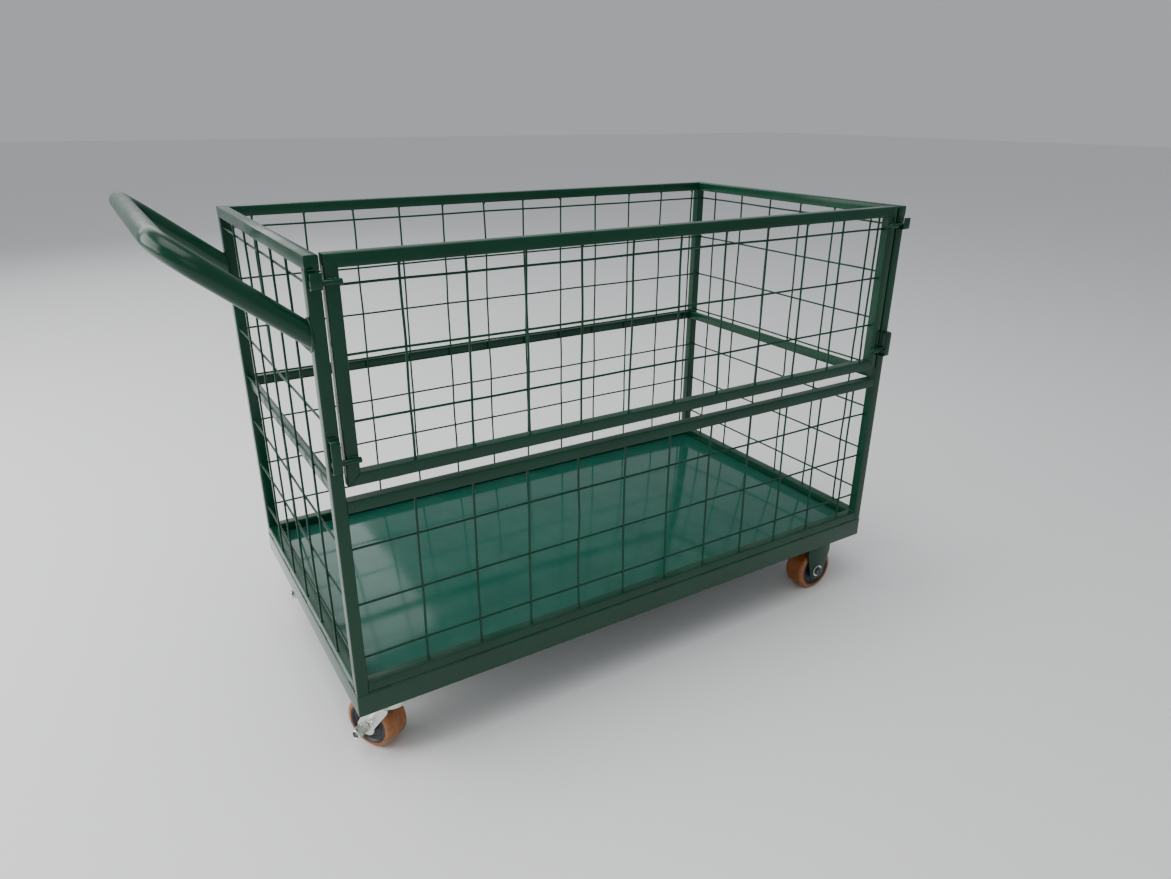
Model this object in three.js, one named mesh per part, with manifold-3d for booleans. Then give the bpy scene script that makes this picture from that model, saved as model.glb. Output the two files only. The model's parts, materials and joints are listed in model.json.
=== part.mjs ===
// A steel mesh cart: a folded deck on four casters, a tube-and-mesh cage with a
// lift-and-drop gate along its front, and a bent tube handle at its left end.
// Millimetres, +Z up, +X along the deck away from the handle, -Y towards the gate.
// The origin is on the floor, under the middle of the cart's bounding box.

import * as THREE from "three";
import { mergeVertices } from "three/addons/utils/BufferGeometryUtils.js";
import Module from "manifold-3d";

// ---------- driving dimensions ----------

// cage
const cageLength = 1200; // over the end frames
const cageWidth = 654; // over the front and back frames
const cageHeight = 712; // from the deck to the top of the cage
const tubeSize = 20; // square tube of the cage and the gate
const tubeWall = 1.5;
const fitGap = 0.3; // between pieces that are welded or seated together
const midRailHeight = 367; // top of the back and end middle rails above the deck
const sillHeight = 349; // top of the front middle rail above the deck
const ventRadius = 2; // drain hole in a closed tube

// deck
const deckOverhang = 1; // past the cage on every side
const deckSkirt = 41; // height of the folded sides
const deckSheet = 2.5;
const bolsterWidth = 100; // channel that carries a pair of casters
const stiffenerWidth = 60; // channel under the middle of the deck
const channelSheet = 3;

// wire mesh
const wireSize = 4;
const wireLap = 0.4; // how deep crossing wires are fused
const meshPitch = 100;
const meshTopGap = 20; // top rail to the first level wire
const sillMeshTopGap = 66; // front middle rail to the first level wire
const gateMeshTopGap = 24;
const frontMeshStart = 107; // front left post to the first upright wire
const backMeshStart = 39;
const gateMeshStart = 87;
const leftMeshStart = 123; // back post to the first upright wire
const rightMeshStart = 54;
const leastWireGap = 15; // no wire runs closer than this to the tube beside it

// gate
const gateSideGap = 5; // to each front post
const gateSillGap = 23; // above the front middle rail
const mitreGap = 0.25;
const pinRadius = 4.5;
const pinOverlap = 2; // past the gate tube on the inner side
const pinInset = 3; // outer pin end inside the outer face of the post
const upperPinDrop = 37; // below the top of the cage
const lowerPinRise = 42.8; // above the bottom of the gate

// hooks and straps on the front posts
const strapSheet = 3;
const hookWidth = 16;
const hookPinPlay = 3.7; // free space in front of the pin, besides its diameter
const hookLip = 15.3; // lip above the middle of the pin
const strapWidth = 14;
const strapPinPlay = 1; // free space in front of the pin, besides its diameter
const strapBelowPin = 14.8; // bottom of the strap below the middle of the pin at rest
const strapHeight = 53;
const bendRadius = 4; // outside of each bend

// handle
const handleRadius = 16;
const handleWall = 2;
const handleJointDrop = 109; // below the top of the cage
const handleReach = 165; // cross bar out from the end frame
const handleLift = 133; // cross bar above the joints
const handleBend = 62; // centre-line radius
const handleSteps = 32;
const handleArcSteps = 6; // per half turn of the tube's section

// casters
const wheelRadius = 50;
const treadWidth = 50;
const treadInner = 39.5;
const treadRound = 2.5;
const hubWidth = 52;
const hubRadius = 14;
const webWidth = 42;
const axleRadius = 6;
const runningGap = 0.3;
const forkSheet = 3.5;
const forkGap = 54; // between the two fork plates
const forkRound = 19; // rounded lower end of a swivel fork leg
const bracketRound = 23; // the same on a fixed caster
const forkHeadroom = 3; // above the wheel
const forkCrown = 4;
const forkLegBack = -15; // top of a swivel fork leg, along the trail
const forkLegFront = 29;
const swivelTrail = 38;
const nutLength = 10;
const nutRadius = 10.6; // over the corners
const boltTail = 6.5; // past the nuts
const boltHead = 7.5;
const boltFlange = 2; // round flange under the head
const boltFlangeRadius = 14;
const plateLength = 105;
const plateWidth = 85;
const plateSheet = 5;
const raceRadius = 30;
const lowerRaceHeight = 15.7; // cup on the fork that holds the balls
const upperRaceRadius = 26;
const upperRaceDepth = 2.7;
const kingpinRadius = 8;
const kingpinHead = 12;
const kingpinHeadDepth = 4;
const slotRadius = 4.5;
const slotLength = 8;
const swivelInset = 69; // from the handle end of the cage to the swivel axis
const fixedInset = 100; // from the other end of the cage to the fixed axle
const casterSideInset = 51; // from the side of the cage to the caster's middle
const frontTrailAngle = 120; // degrees from +X, where the wheel stands at rest
const backTrailAngle = -90;

// ---------- materials ----------

function paint(colour, roughness, metalness) {
  return new THREE.MeshStandardMaterial({ color: colour, roughness, metalness });
}

const greenPaint = paint(0x16452f, 0.32, 0.0);
const zincPlate = paint(0xc9cfca, 0.35, 1.0);
const orangeTread = paint(0xb5682a, 0.45, 0.0);
const blackHub = paint(0x17181b, 0.5, 0.0);

// ---------- solids ----------

const wasm = await Module();
wasm.setup();

function solid(geometry) {
  const bare = geometry.clone();
  bare.deleteAttribute("normal");
  bare.deleteAttribute("uv");
  const merged = mergeVertices(bare, 1e-4);
  return new wasm.Manifold(
    new wasm.Mesh({
      numProp: 3,
      vertProperties: new Float32Array(merged.attributes.position.array),
      triVerts: new Uint32Array(merged.index.array),
    }),
  );
}

function geometryOf(body) {
  const mesh = body.getMesh();
  const geometry = new THREE.BufferGeometry();
  geometry.setAttribute("position", new THREE.BufferAttribute(mesh.vertProperties, 3));
  geometry.setIndex(new THREE.BufferAttribute(mesh.triVerts, 1));
  geometry.computeVertexNormals();
  return geometry;
}

function joined(solids) {
  return solids.reduce((sum, next) => sum.add(next));
}

// A box from its lowest corner to its highest corner.
function boxGeometry(low, high) {
  const size = high.map((value, axis) => value - low[axis]);
  const middle = high.map((value, axis) => (value + low[axis]) / 2);
  return new THREE.BoxGeometry(...size).translate(...middle);
}

function box(low, high) {
  return solid(boxGeometry(low, high));
}

// A round bar along an axis, from one place on it to another.
function rod(axis, start, end, radius, sides, middle = [0, 0, 0]) {
  const bar = new THREE.CylinderGeometry(radius, radius, end - start, sides);
  bar.translate(0, (start + end) / 2, 0);
  if (axis === "x") bar.rotateZ(-Math.PI / 2);
  if (axis === "z") bar.rotateX(Math.PI / 2);
  return solid(bar.translate(...middle));
}

// A rectangular tube that fills a box, open at both ends of the given axis.
function openTube(low, high, axis, wall = tubeWall) {
  const innerLow = low.map((value, i) => (i === axis ? value - wall : value + wall));
  const innerHigh = high.map((value, i) => (i === axis ? value + wall : value - wall));
  return geometryOf(box(low, high).subtract(box(innerLow, innerHigh)));
}

// The same tube with welded ends and a drain hole in its underside.
function closedTube(low, high, wall = tubeWall) {
  const inner = box(
    low.map((value) => value + wall),
    high.map((value) => value - wall),
  );
  const middle = [(low[0] + high[0]) / 2, (low[1] + high[1]) / 2, 0];
  const vent = rod("z", low[2] - wall, low[2] + 2 * wall, ventRadius, 8, middle);
  return geometryOf(box(low, high).subtract(inner).subtract(vent));
}

// An outline in the XZ plane, pushed through along Y between two places.
function plateY(outline, from, to, holes = []) {
  outline.holes.push(...holes);
  const depth = to - from;
  const plate = new THREE.ExtrudeGeometry(outline, { depth, bevelEnabled: false, curveSegments: 8 });
  return solid(plate.rotateX(Math.PI / 2).translate(0, to, 0));
}

function roundHole(x, z, radius) {
  const hole = new THREE.Path();
  hole.absarc(x, z, radius, 0, 2 * Math.PI, true);
  return hole;
}

// ---------- assembly helpers ----------

const cart = new THREE.Group();

function add(name, geometry, material, group = cart) {
  const mesh = new THREE.Mesh(geometry, material);
  mesh.name = name;
  group.add(mesh);
  return mesh;
}

// ---------- levels and faces ----------

const crownBottom = 2 * wheelRadius + forkHeadroom;
const crownTop = crownBottom + forkCrown;
const raceBottom = crownTop + lowerRaceHeight + runningGap;
const plateBottom = raceBottom + upperRaceDepth;
const plateTop = plateBottom + plateSheet;
const deckBottom = plateTop + fitGap;
const deckTop = deckBottom + deckSkirt;
const cageTop = deckTop + cageHeight;
const endX = cageLength / 2;
const sideY = cageWidth / 2;
const innerX = endX - tubeSize;
const innerY = sideY - tubeSize;
const railBottom = deckTop + fitGap;
const railTop = railBottom + tubeSize;
const topRailBottom = cageTop - tubeSize;
const sillTop = deckTop + sillHeight;
const midTop = deckTop + midRailHeight;
const meshDepth = 2 * wireSize - wireLap;
const midDepth = tubeSize - meshDepth - fitGap;
const swivelPlaceX = swivelInset - endX;
const fixedPlaceX = endX - fixedInset;
const casterPlaceY = sideY - casterSideInset;

// ---------- deck ----------

function deckPan() {
  const outX = endX + deckOverhang;
  const outY = sideY + deckOverhang;
  const shell = box([-outX, -outY, deckBottom], [outX, outY, deckTop]);
  const inX = outX - deckSheet;
  const inY = outY - deckSheet;
  const hollow = box([-inX, -inY, deckBottom - 1], [inX, inY, deckTop - deckSheet]);
  add("deck_pan", geometryOf(shell.subtract(hollow)), greenPaint);
}

// A channel across the deck, open side up, between the folded skirts.
function crossChannel(name, x, width) {
  const halfY = sideY + deckOverhang - deckSheet - fitGap;
  const top = deckTop - deckSheet - fitGap;
  const outer = box([x - width / 2, -halfY, deckBottom], [x + width / 2, halfY, top]);
  const inner = box(
    [x - width / 2 + channelSheet, -halfY - 1, deckBottom + channelSheet],
    [x + width / 2 - channelSheet, halfY + 1, top + 1],
  );
  add(name, geometryOf(outer.subtract(inner)), greenPaint);
}

// ---------- cage frame ----------

const sides = [
  ["left", -1],
  ["right", 1],
];
const faces = [
  ["front", -1],
  ["back", 1],
];

// Orders two places along an axis as a low and a high one.
function span(a, b) {
  return [Math.min(a, b), Math.max(a, b)];
}

function posts() {
  for (const [side, sx] of sides) {
    for (const [face, sy] of faces) {
      const [x0, x1] = span(sx * innerX, sx * endX);
      const [y0, y1] = span(sy * innerY, sy * sideY);
      const tube = openTube([x0, y0, railBottom], [x1, y1, topRailBottom - fitGap], 2);
      add(`post_${side}_${face}`, tube, greenPaint);
    }
  }
}

// A tube along X between the posts of the front or the back.
function longRail(name, sy, bottom, inset = 0, depth = tubeSize) {
  const x = innerX - fitGap;
  const outer = sy * (sideY - inset);
  const [y0, y1] = span(outer - sy * depth, outer);
  add(name, openTube([-x, y0, bottom], [x, y1, bottom + tubeSize], 0), greenPaint);
}

// A tube along Y between the posts of an end.
function endRail(name, sx, bottom, inset = 0, depth = tubeSize) {
  const y = innerY - fitGap;
  const outer = sx * (endX - inset);
  const [x0, x1] = span(outer - sx * depth, outer);
  add(name, openTube([x0, -y, bottom], [x1, y, bottom + tubeSize], 1), greenPaint);
}

function rails() {
  for (const [face, sy] of faces) longRail(`bottom_rail_${face}`, sy, railBottom);
  for (const [side, sx] of sides) endRail(`bottom_rail_${side}`, sx, railBottom);
  longRail("mid_rail_front", -1, sillTop - tubeSize);
  // The back mesh passes inside its middle rail, the end meshes pass outside theirs.
  longRail("mid_rail_back", 1, midTop - tubeSize, 0, midDepth);
  for (const [side, sx] of sides) {
    endRail(`mid_rail_${side}`, sx, midTop - tubeSize, tubeSize - midDepth, midDepth);
    const [x0, x1] = span(sx * innerX, sx * endX);
    const rail = closedTube([x0, -sideY, topRailBottom], [x1, sideY, cageTop]);
    add(`top_rail_${side}`, rail, greenPaint);
  }
  longRail("top_rail_back", 1, topRailBottom);
}

// ---------- wire mesh ----------

// Places every pitch from the first one, no closer to either edge than the least gap.
function wirePlaces(low, high, first) {
  const places = [];
  const step = first > (low + high) / 2 ? -meshPitch : meshPitch;
  const clear = leastWireGap + wireSize / 2;
  for (let at = first; at > low + clear && at < high - clear; at += step) places.push(at);
  return places;
}

// A welded mesh in the XZ plane: uprights first, level wires behind them by one wire.
function meshSolid(x0, x1, z0, z1, firstX, firstZ) {
  const half = wireSize / 2;
  const backY = wireSize - wireLap;
  const uprights = wirePlaces(x0, x1, firstX).map((x) =>
    box([x - half, 0, z0 + fitGap], [x + half, wireSize, z1 - fitGap]),
  );
  const levels = wirePlaces(z0, z1, firstZ).map((z) =>
    box([x0 + fitGap, backY, z - half], [x1 - fitGap, backY + wireSize, z + half]),
  );
  return geometryOf(joined([...uprights, ...levels]));
}

function meshPanels() {
  const frontMesh = meshSolid(
    -innerX,
    innerX,
    railTop,
    sillTop - tubeSize,
    -innerX + frontMeshStart,
    sillTop - tubeSize - sillMeshTopGap,
  );
  frontMesh.translate(0, -sideY + (tubeSize - meshDepth) / 2, 0);
  add("mesh_front", frontMesh, greenPaint);

  const firstLevel = topRailBottom - meshTopGap;
  const backMesh = meshSolid(
    -innerX,
    innerX,
    railTop,
    topRailBottom,
    -innerX + backMeshStart,
    firstLevel,
  );
  backMesh.translate(0, innerY, 0);
  add("mesh_back", backMesh, greenPaint);

  // Turned a quarter about Z, mesh +X lies along -Y of the cart.
  const leftMesh = meshSolid(
    -innerY,
    innerY,
    railTop,
    topRailBottom,
    -innerY + leftMeshStart,
    firstLevel,
  );
  leftMesh.rotateZ(-Math.PI / 2).translate(-endX, 0, 0);
  add("mesh_left", leftMesh, greenPaint);

  const rightMesh = meshSolid(
    -innerY,
    innerY,
    railTop,
    topRailBottom,
    -innerY + rightMeshStart,
    firstLevel,
  );
  rightMesh.rotateZ(-Math.PI / 2).translate(endX - meshDepth, 0, 0);
  add("mesh_right", rightMesh, greenPaint);
}

// ---------- gate ----------

const gateX = innerX - gateSideGap;
const gateBottom = sillTop + gateSillGap;
const gateHeight = cageTop - gateBottom;
const pinY = -sideY - fitGap - pinRadius;
const upperPinZ = cageTop - upperPinDrop;
const lowerPinZ = gateBottom + lowerPinRise;

// A tube along X whose ends are cut at 45 degrees; its long face is at z = 0.
function mitredTube(length) {
  const tube = openTube([0, 0, 0], [length, tubeSize, tubeSize], 0);
  const place = tube.attributes.position;
  for (let i = 0; i < place.count; i += 1) {
    const cut = place.getZ(i) + mitreGap;
    const x = place.getX(i);
    place.setX(i, x < length / 2 ? x + cut : x - cut);
  }
  tube.computeVertexNormals();
  return tube;
}

function gate() {
  const width = 2 * gateX;
  const frame = new THREE.Group();
  frame.position.set(0, -sideY, (gateBottom + cageTop) / 2);
  cart.add(frame);
  const bars = [
    ["gate_bottom_bar", width, gateHeight, 0],
    ["gate_left_bar", gateHeight, width, 90],
    ["gate_top_bar", width, gateHeight, 180],
    ["gate_right_bar", gateHeight, width, 270],
  ];
  for (const [name, length, across, turn] of bars) {
    const tube = mitredTube(length).translate(-length / 2, 0, -across / 2);
    add(name, tube.rotateY((turn * Math.PI) / 180), greenPaint, frame);
  }
  const inX = gateX - tubeSize;
  const mesh = meshSolid(
    -inX,
    inX,
    gateBottom + tubeSize,
    cageTop - tubeSize,
    -inX + gateMeshStart,
    cageTop - tubeSize - gateMeshTopGap,
  );
  add("gate_mesh", mesh.translate(0, -sideY + (tubeSize - meshDepth) / 2, 0), greenPaint);
}

function gatePins() {
  for (const [side, sx] of sides) {
    const [x0, x1] = span(sx * (gateX - tubeSize - pinOverlap), sx * (endX - pinInset));
    const levels = [
      ["upper", upperPinZ],
      ["lower", lowerPinZ],
    ];
    for (const [level, z] of levels) {
      const pin = rod("x", x0, x1, pinRadius, 12, [0, pinY, z]);
      add(`gate_${level}_pin_${side}`, geometryOf(pin), greenPaint);
    }
  }
}

// ---------- hooks and straps ----------

// A flat strip seen from the side is drawn with its distance out from the post and its
// height; extruding the drawing along the cart's X gives the strip its width.
function strip(outline, width, x) {
  const shape = new THREE.ExtrudeGeometry(outline, {
    depth: width,
    bevelEnabled: false,
    curveSegments: 4,
  });
  // drawing right -> -Y, drawing up -> +Z, extrusion -> -X
  shape.rotateX(Math.PI / 2).rotateZ(-Math.PI / 2);
  return geometryOf(solid(shape.translate(x + width / 2, -sideY, 0)));
}

function hookOutline() {
  const lipOut = 2 * pinRadius + hookPinPlay + fitGap + strapSheet;
  const base = upperPinZ - pinRadius - fitGap - strapSheet;
  const tip = upperPinZ + hookLip;
  const innerBend = bendRadius - strapSheet;
  const outline = new THREE.Shape();
  outline.moveTo(fitGap, base);
  outline.lineTo(lipOut - bendRadius, base);
  outline.absarc(lipOut - bendRadius, base + bendRadius, bendRadius, -Math.PI / 2, 0, false);
  outline.lineTo(lipOut, tip - strapSheet / 2);
  outline.absarc(lipOut - strapSheet / 2, tip - strapSheet / 2, strapSheet / 2, 0, Math.PI, false);
  outline.lineTo(lipOut - strapSheet, base + bendRadius);
  outline.absarc(lipOut - bendRadius, base + bendRadius, innerBend, 0, -Math.PI / 2, true);
  outline.lineTo(fitGap, base + strapSheet);
  outline.closePath();
  return outline;
}

function strapOutline() {
  const out = 2 * pinRadius + strapPinPlay + fitGap + strapSheet;
  const low = lowerPinZ - strapBelowPin;
  const high = low + strapHeight;
  const innerBend = bendRadius - strapSheet;
  const quarter = Math.PI / 2;
  const outline = new THREE.Shape();
  outline.moveTo(fitGap, low);
  outline.lineTo(out - bendRadius, low);
  outline.absarc(out - bendRadius, low + bendRadius, bendRadius, -quarter, 0, false);
  outline.lineTo(out, high - bendRadius);
  outline.absarc(out - bendRadius, high - bendRadius, bendRadius, 0, quarter, false);
  outline.lineTo(fitGap, high);
  outline.lineTo(fitGap, high - strapSheet);
  outline.lineTo(out - bendRadius, high - strapSheet);
  outline.absarc(out - bendRadius, high - bendRadius, innerBend, quarter, 0, true);
  outline.lineTo(out - strapSheet, low + bendRadius);
  outline.absarc(out - bendRadius, low + bendRadius, innerBend, 0, -quarter, true);
  outline.lineTo(fitGap, low + strapSheet);
  outline.closePath();
  return outline;
}

function postHardware() {
  for (const [side, sx] of sides) {
    const x = sx * (endX - tubeSize / 2);
    add(`gate_hook_${side}`, strip(hookOutline(), hookWidth, x), greenPaint);
    add(`gate_strap_${side}`, strip(strapOutline(), strapWidth, x), greenPaint);
  }
}

// ---------- handle ----------

// The centre line lies in one sloping plane; it starts and ends inside the end frame and
// is cut off at the posts.
function handlePath() {
  const slope = new THREE.Vector2(handleReach, handleLift);
  const arm = slope.length();
  const along = slope.clone().normalize();
  const place = (out, y) =>
    new THREE.Vector3(
      -endX - along.x * out,
      y,
      cageTop - handleJointDrop + along.y * out,
    );
  const halfY = sideY - handleRadius;
  const start = -2 * handleRadius;
  const path = new THREE.CurvePath();
  const bendStart = arm - handleBend;
  const crossY = halfY - handleBend;
  path.add(new THREE.LineCurve3(place(start, -halfY), place(bendStart, -halfY)));
  path.add(new BendCurve(place, bendStart, -crossY, handleBend, -1));
  path.add(new THREE.LineCurve3(place(arm, -crossY), place(arm, crossY)));
  path.add(new BendCurve(place, bendStart, crossY, handleBend, 1));
  path.add(new THREE.LineCurve3(place(bendStart, halfY), place(start, halfY)));
  return path;
}

// A quarter bend between an arm of the handle and its cross bar.
class BendCurve extends THREE.Curve {
  constructor(place, middleOut, middleY, radius, side) {
    super();
    this.place = place;
    this.middleOut = middleOut;
    this.middleY = middleY;
    this.radius = radius;
    this.side = side;
  }

  getPoint(t, target = new THREE.Vector3()) {
    const turn = (this.side < 0 ? t : 1 - t) * (Math.PI / 2);
    const out = this.middleOut + this.radius * Math.sin(turn);
    const y = this.middleY + this.side * this.radius * Math.cos(turn);
    return target.copy(this.place(out, y));
  }
}

function handle() {
  const sweep = (radius) => {
    const ring = new THREE.Shape();
    ring.absarc(0, 0, radius, 0, 2 * Math.PI, false);
    return solid(
      new THREE.ExtrudeGeometry(ring, {
        steps: handleSteps,
        extrudePath: handlePath(),
        curveSegments: handleArcSteps,
        bevelEnabled: false,
      }),
    );
  };
  const beyond = 2 * (handleReach + handleRadius);
  const outside = (x) => box([x - beyond, -cageWidth, 0], [x, cageWidth, 2 * cageTop]);
  const skin = sweep(handleRadius).intersect(outside(-endX - fitGap));
  const inner = sweep(handleRadius - handleWall).intersect(outside(-endX - fitGap - handleWall));
  const barZ = cageTop - handleJointDrop + handleLift;
  const barX = -endX - handleReach;
  const vent = rod("z", barZ - 2 * handleRadius, barZ, ventRadius, 8, [barX, 0, 0]);
  add("handle", geometryOf(skin.subtract(inner).subtract(vent)), greenPaint);
}

// ---------- casters ----------
// Each caster is built about its own vertical axis, with its axle along local Y.

// A ring turned about the axle from a closed outline of radius and side distance.
function turned(points, x, segments) {
  const profile = points.map(([radius, side]) => new THREE.Vector2(radius, side));
  profile.push(profile[0].clone());
  return geometryOf(solid(new THREE.LatheGeometry(profile, segments))).translate(x, 0, wheelRadius);
}

// Mirrors a half outline from the outer side of the wheel to the other side.
function bothSides(half) {
  return [...half.map(([r, s]) => [r, -s]), ...half.slice().reverse()];
}

function wheel(name, x, group) {
  const treadHalf = [
    [treadInner, treadWidth / 2],
    [wheelRadius - treadRound, treadWidth / 2],
    [wheelRadius, treadWidth / 2 - treadRound],
  ];
  add(`${name}_tread`, turned(bothSides(treadHalf), x, 28), orangeTread, group);
  const rim = treadInner - runningGap;
  const hubHalf = [
    [axleRadius + runningGap, hubWidth / 2],
    [hubRadius, hubWidth / 2],
    [hubRadius + 2, webWidth / 2],
    [rim - 5, webWidth / 2],
    [rim - 3, treadWidth / 2],
    [rim, treadWidth / 2],
  ];
  add(`${name}_hub`, turned(bothSides(hubHalf), x, 20), blackHub, group);
}

function hexagon(from, to, turn) {
  const nut = new THREE.CylinderGeometry(nutRadius, nutRadius, to - from, 6);
  return solid(nut.rotateY(turn).translate(0, (from + to) / 2, 0));
}

// Hex bolt through the fork, threaded end towards local +Y or -Y, with two nuts on it.
function axle(name, x, boltSide, group) {
  const face = forkGap / 2 + forkSheet + fitGap;
  const end = face + 2 * nutLength + boltTail;
  const shank = rod("y", -face - 1, end, axleRadius, 12);
  const flange = rod("y", -face - boltFlange, -face, boltFlangeRadius, 20);
  const bolt = joined([shank, flange, hexagon(-face - boltHead, -face, 0)]);
  const bore = rod("y", 0, 2 * end, axleRadius + runningGap, 12);
  const nuts = hexagon(face, face + nutLength, 0.2)
    .add(hexagon(face + nutLength - wireLap, face + 2 * nutLength, 0.7))
    .subtract(bore);
  const turn = boltSide > 0 ? 0 : Math.PI;
  const placed = (body) => geometryOf(body).rotateZ(turn).translate(x, 0, wheelRadius);
  add(`${name}_axle_bolt`, placed(bolt), zincPlate, group);
  add(`${name}_axle_nuts`, placed(nuts), zincPlate, group);
}

// A fork plate in side view: straight top edge, tapering to a rounded end at the axle.
function forkLeg(topBack, topFront, top, axleX, round) {
  const lean = 0.3;
  const outline = new THREE.Shape();
  outline.moveTo(topBack, top);
  outline.lineTo(topBack, crownBottom - 2 * forkHeadroom);
  outline.absarc(axleX, wheelRadius, round, Math.PI + lean, 2 * Math.PI - lean / 3, false);
  outline.lineTo(topFront, crownBottom - 2 * forkHeadroom);
  outline.lineTo(topFront, top);
  outline.closePath();
  return outline;
}

function forkLegs(topBack, topFront, top, axleX, round) {
  const hole = () => [roundHole(axleX, wheelRadius, axleRadius + runningGap)];
  const inner = forkGap / 2;
  const outer = inner + forkSheet;
  const leg = () => forkLeg(topBack, topFront, top, axleX, round);
  const near = plateY(leg(), -outer, -inner, hole());
  const far = plateY(leg(), inner, outer, hole());
  return [near, far];
}

// The plate that is welded under the deck, with four slots.
function topPlate() {
  let plate = box(
    [-plateLength / 2, -plateWidth / 2, plateBottom],
    [plateLength / 2, plateWidth / 2, plateTop],
  );
  for (const sx of [-1, 1]) {
    for (const sy of [-1, 1]) {
      const x = sx * (plateLength / 2 - 2.5 * slotRadius);
      const y = sy * (plateWidth / 2 - 2 * slotRadius);
      const shift = slotLength / 2;
      const slot = box(
        [x - shift, y - slotRadius, plateBottom - 1],
        [x + shift, y + slotRadius, plateTop + 1],
      );
      plate = plate.subtract(slot);
    }
  }
  return plate;
}

function swivelCaster(name, y, trailAngle, boltSide) {
  const base = new THREE.Group();
  base.position.set(swivelPlaceX, y, 0);
  cart.add(base);
  const headTop = crownBottom - runningGap;
  const kingpin = joined([
    topPlate(),
    rod("z", raceBottom, plateBottom + 1, upperRaceRadius, 20),
    rod("z", headTop - 1, plateBottom + 1, kingpinRadius, 12),
    rod("z", headTop - kingpinHeadDepth, headTop, kingpinHead, 12),
  ]);
  add(`${name}_plate`, geometryOf(kingpin), zincPlate, base);

  const swivel = new THREE.Group();
  swivel.rotation.z = (trailAngle * Math.PI) / 180;
  base.add(swivel);
  const halfY = forkGap / 2 + forkSheet;
  const bore = rod("z", 0, plateBottom, kingpinRadius + runningGap, 12);
  const fork = joined([
    box([-raceRadius, -halfY, crownBottom], [raceRadius, halfY, crownTop]),
    rod("z", crownTop - 1, raceBottom - runningGap, raceRadius, 24),
    ...forkLegs(forkLegBack, forkLegFront, crownTop, swivelTrail, forkRound),
  ]).subtract(bore);
  add(`${name}_fork`, geometryOf(fork), zincPlate, swivel);
  axle(name, swivelTrail, boltSide, swivel);
  wheel(name, swivelTrail, swivel);
}

function fixedCaster(name, y, boltSide) {
  const base = new THREE.Group();
  base.position.set(fixedPlaceX, y, 0);
  cart.add(base);
  const half = plateLength / 2 - 4 * slotRadius;
  const legs = forkLegs(-half, half, plateBottom + 1, 0, bracketRound);
  const bracket = joined([topPlate(), ...legs]);
  add(`${name}_bracket`, geometryOf(bracket), greenPaint, base);
  axle(name, 0, boltSide, base);
  wheel(name, 0, base);
}

// ---------- the whole cart ----------

deckPan();
crossChannel("bolster_left", swivelPlaceX, bolsterWidth);
crossChannel("bolster_right", fixedPlaceX, bolsterWidth);
crossChannel("deck_stiffener", 0, stiffenerWidth);
posts();
rails();
meshPanels();
gate();
gatePins();
postHardware();
handle();
swivelCaster("swivel_caster_front", -casterPlaceY, frontTrailAngle, 1);
swivelCaster("swivel_caster_back", casterPlaceY, backTrailAngle, -1);
fixedCaster("fixed_caster_front", -casterPlaceY, 1);
fixedCaster("fixed_caster_back", casterPlaceY, -1);

// Puts the origin under the middle of the bounding box.
cart.updateMatrixWorld(true);
const bounds = new THREE.Box3().setFromObject(cart, true);
const centre = bounds.getCenter(new THREE.Vector3());
cart.position.set(-centre.x, -centre.y, -bounds.min.z);

export default cart;
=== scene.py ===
# %% [markdown]
# # A steel mesh cart, finished in Blender
# The cart is already engineered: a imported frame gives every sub-part at its real size, in
# metres, with the joints that move it. This lesson gives each part its finished surface.
# We load the frame first, because every size and place below is measured from it.

import json
import math
import random

import bmesh
import bpy
from mathutils import Matrix, Vector


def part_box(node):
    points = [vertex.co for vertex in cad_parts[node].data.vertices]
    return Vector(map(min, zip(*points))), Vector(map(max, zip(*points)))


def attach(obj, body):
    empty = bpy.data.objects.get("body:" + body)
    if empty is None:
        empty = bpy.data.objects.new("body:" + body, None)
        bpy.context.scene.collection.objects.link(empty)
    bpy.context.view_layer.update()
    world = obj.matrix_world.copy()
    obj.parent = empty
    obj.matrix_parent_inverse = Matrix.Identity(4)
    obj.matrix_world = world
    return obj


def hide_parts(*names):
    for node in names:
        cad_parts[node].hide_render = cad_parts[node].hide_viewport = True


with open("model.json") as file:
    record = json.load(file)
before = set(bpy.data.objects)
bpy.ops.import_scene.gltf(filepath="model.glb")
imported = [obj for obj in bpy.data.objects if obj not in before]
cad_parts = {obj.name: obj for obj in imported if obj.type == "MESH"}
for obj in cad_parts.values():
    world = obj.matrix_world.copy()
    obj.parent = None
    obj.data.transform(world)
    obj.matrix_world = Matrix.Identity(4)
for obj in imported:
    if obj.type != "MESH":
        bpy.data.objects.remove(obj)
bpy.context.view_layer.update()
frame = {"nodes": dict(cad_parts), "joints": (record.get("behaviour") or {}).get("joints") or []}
nodes = frame["nodes"]
joints = {joint["name"]: joint for joint in frame["joints"]}

# %% [markdown]
# ## The stage
# A product like this is shown on a pale sweep. The floor is one large plane, big
# enough that its edge never shows.

# %% Floor
FLOOR_SIZE = 60.0


def deselect():
    """Leaves edit mode and clears the selection, so that the next operator starts clean."""
    if bpy.context.mode != "OBJECT":
        bpy.ops.object.mode_set(mode="OBJECT")
    bpy.ops.object.select_all(action="DESELECT")


deselect()
bpy.ops.mesh.primitive_plane_add(size=FLOOR_SIZE)
floor = bpy.context.object
floor.name = "floor"
print("floor laid,", FLOOR_SIZE, "m wide")

# %% [markdown]
# ## The camera
# The cart is seen from above its front left corner, from a little over a metre up, with a
# fairly wide lens: that is why its near corner looks so large. The camera is turned by
# three plain rotations: round the cart, down towards it, and a hair of roll.

# %% Camera
CAMERA_PLACE = Vector((-0.7613, -1.4132, 1.0635))
CAMERA_AZIMUTH = math.radians(-32.12)
CAMERA_DOWN = math.radians(22.29)
CAMERA_ROLL = math.radians(0.378)
LENS_MM = 24.87

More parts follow.
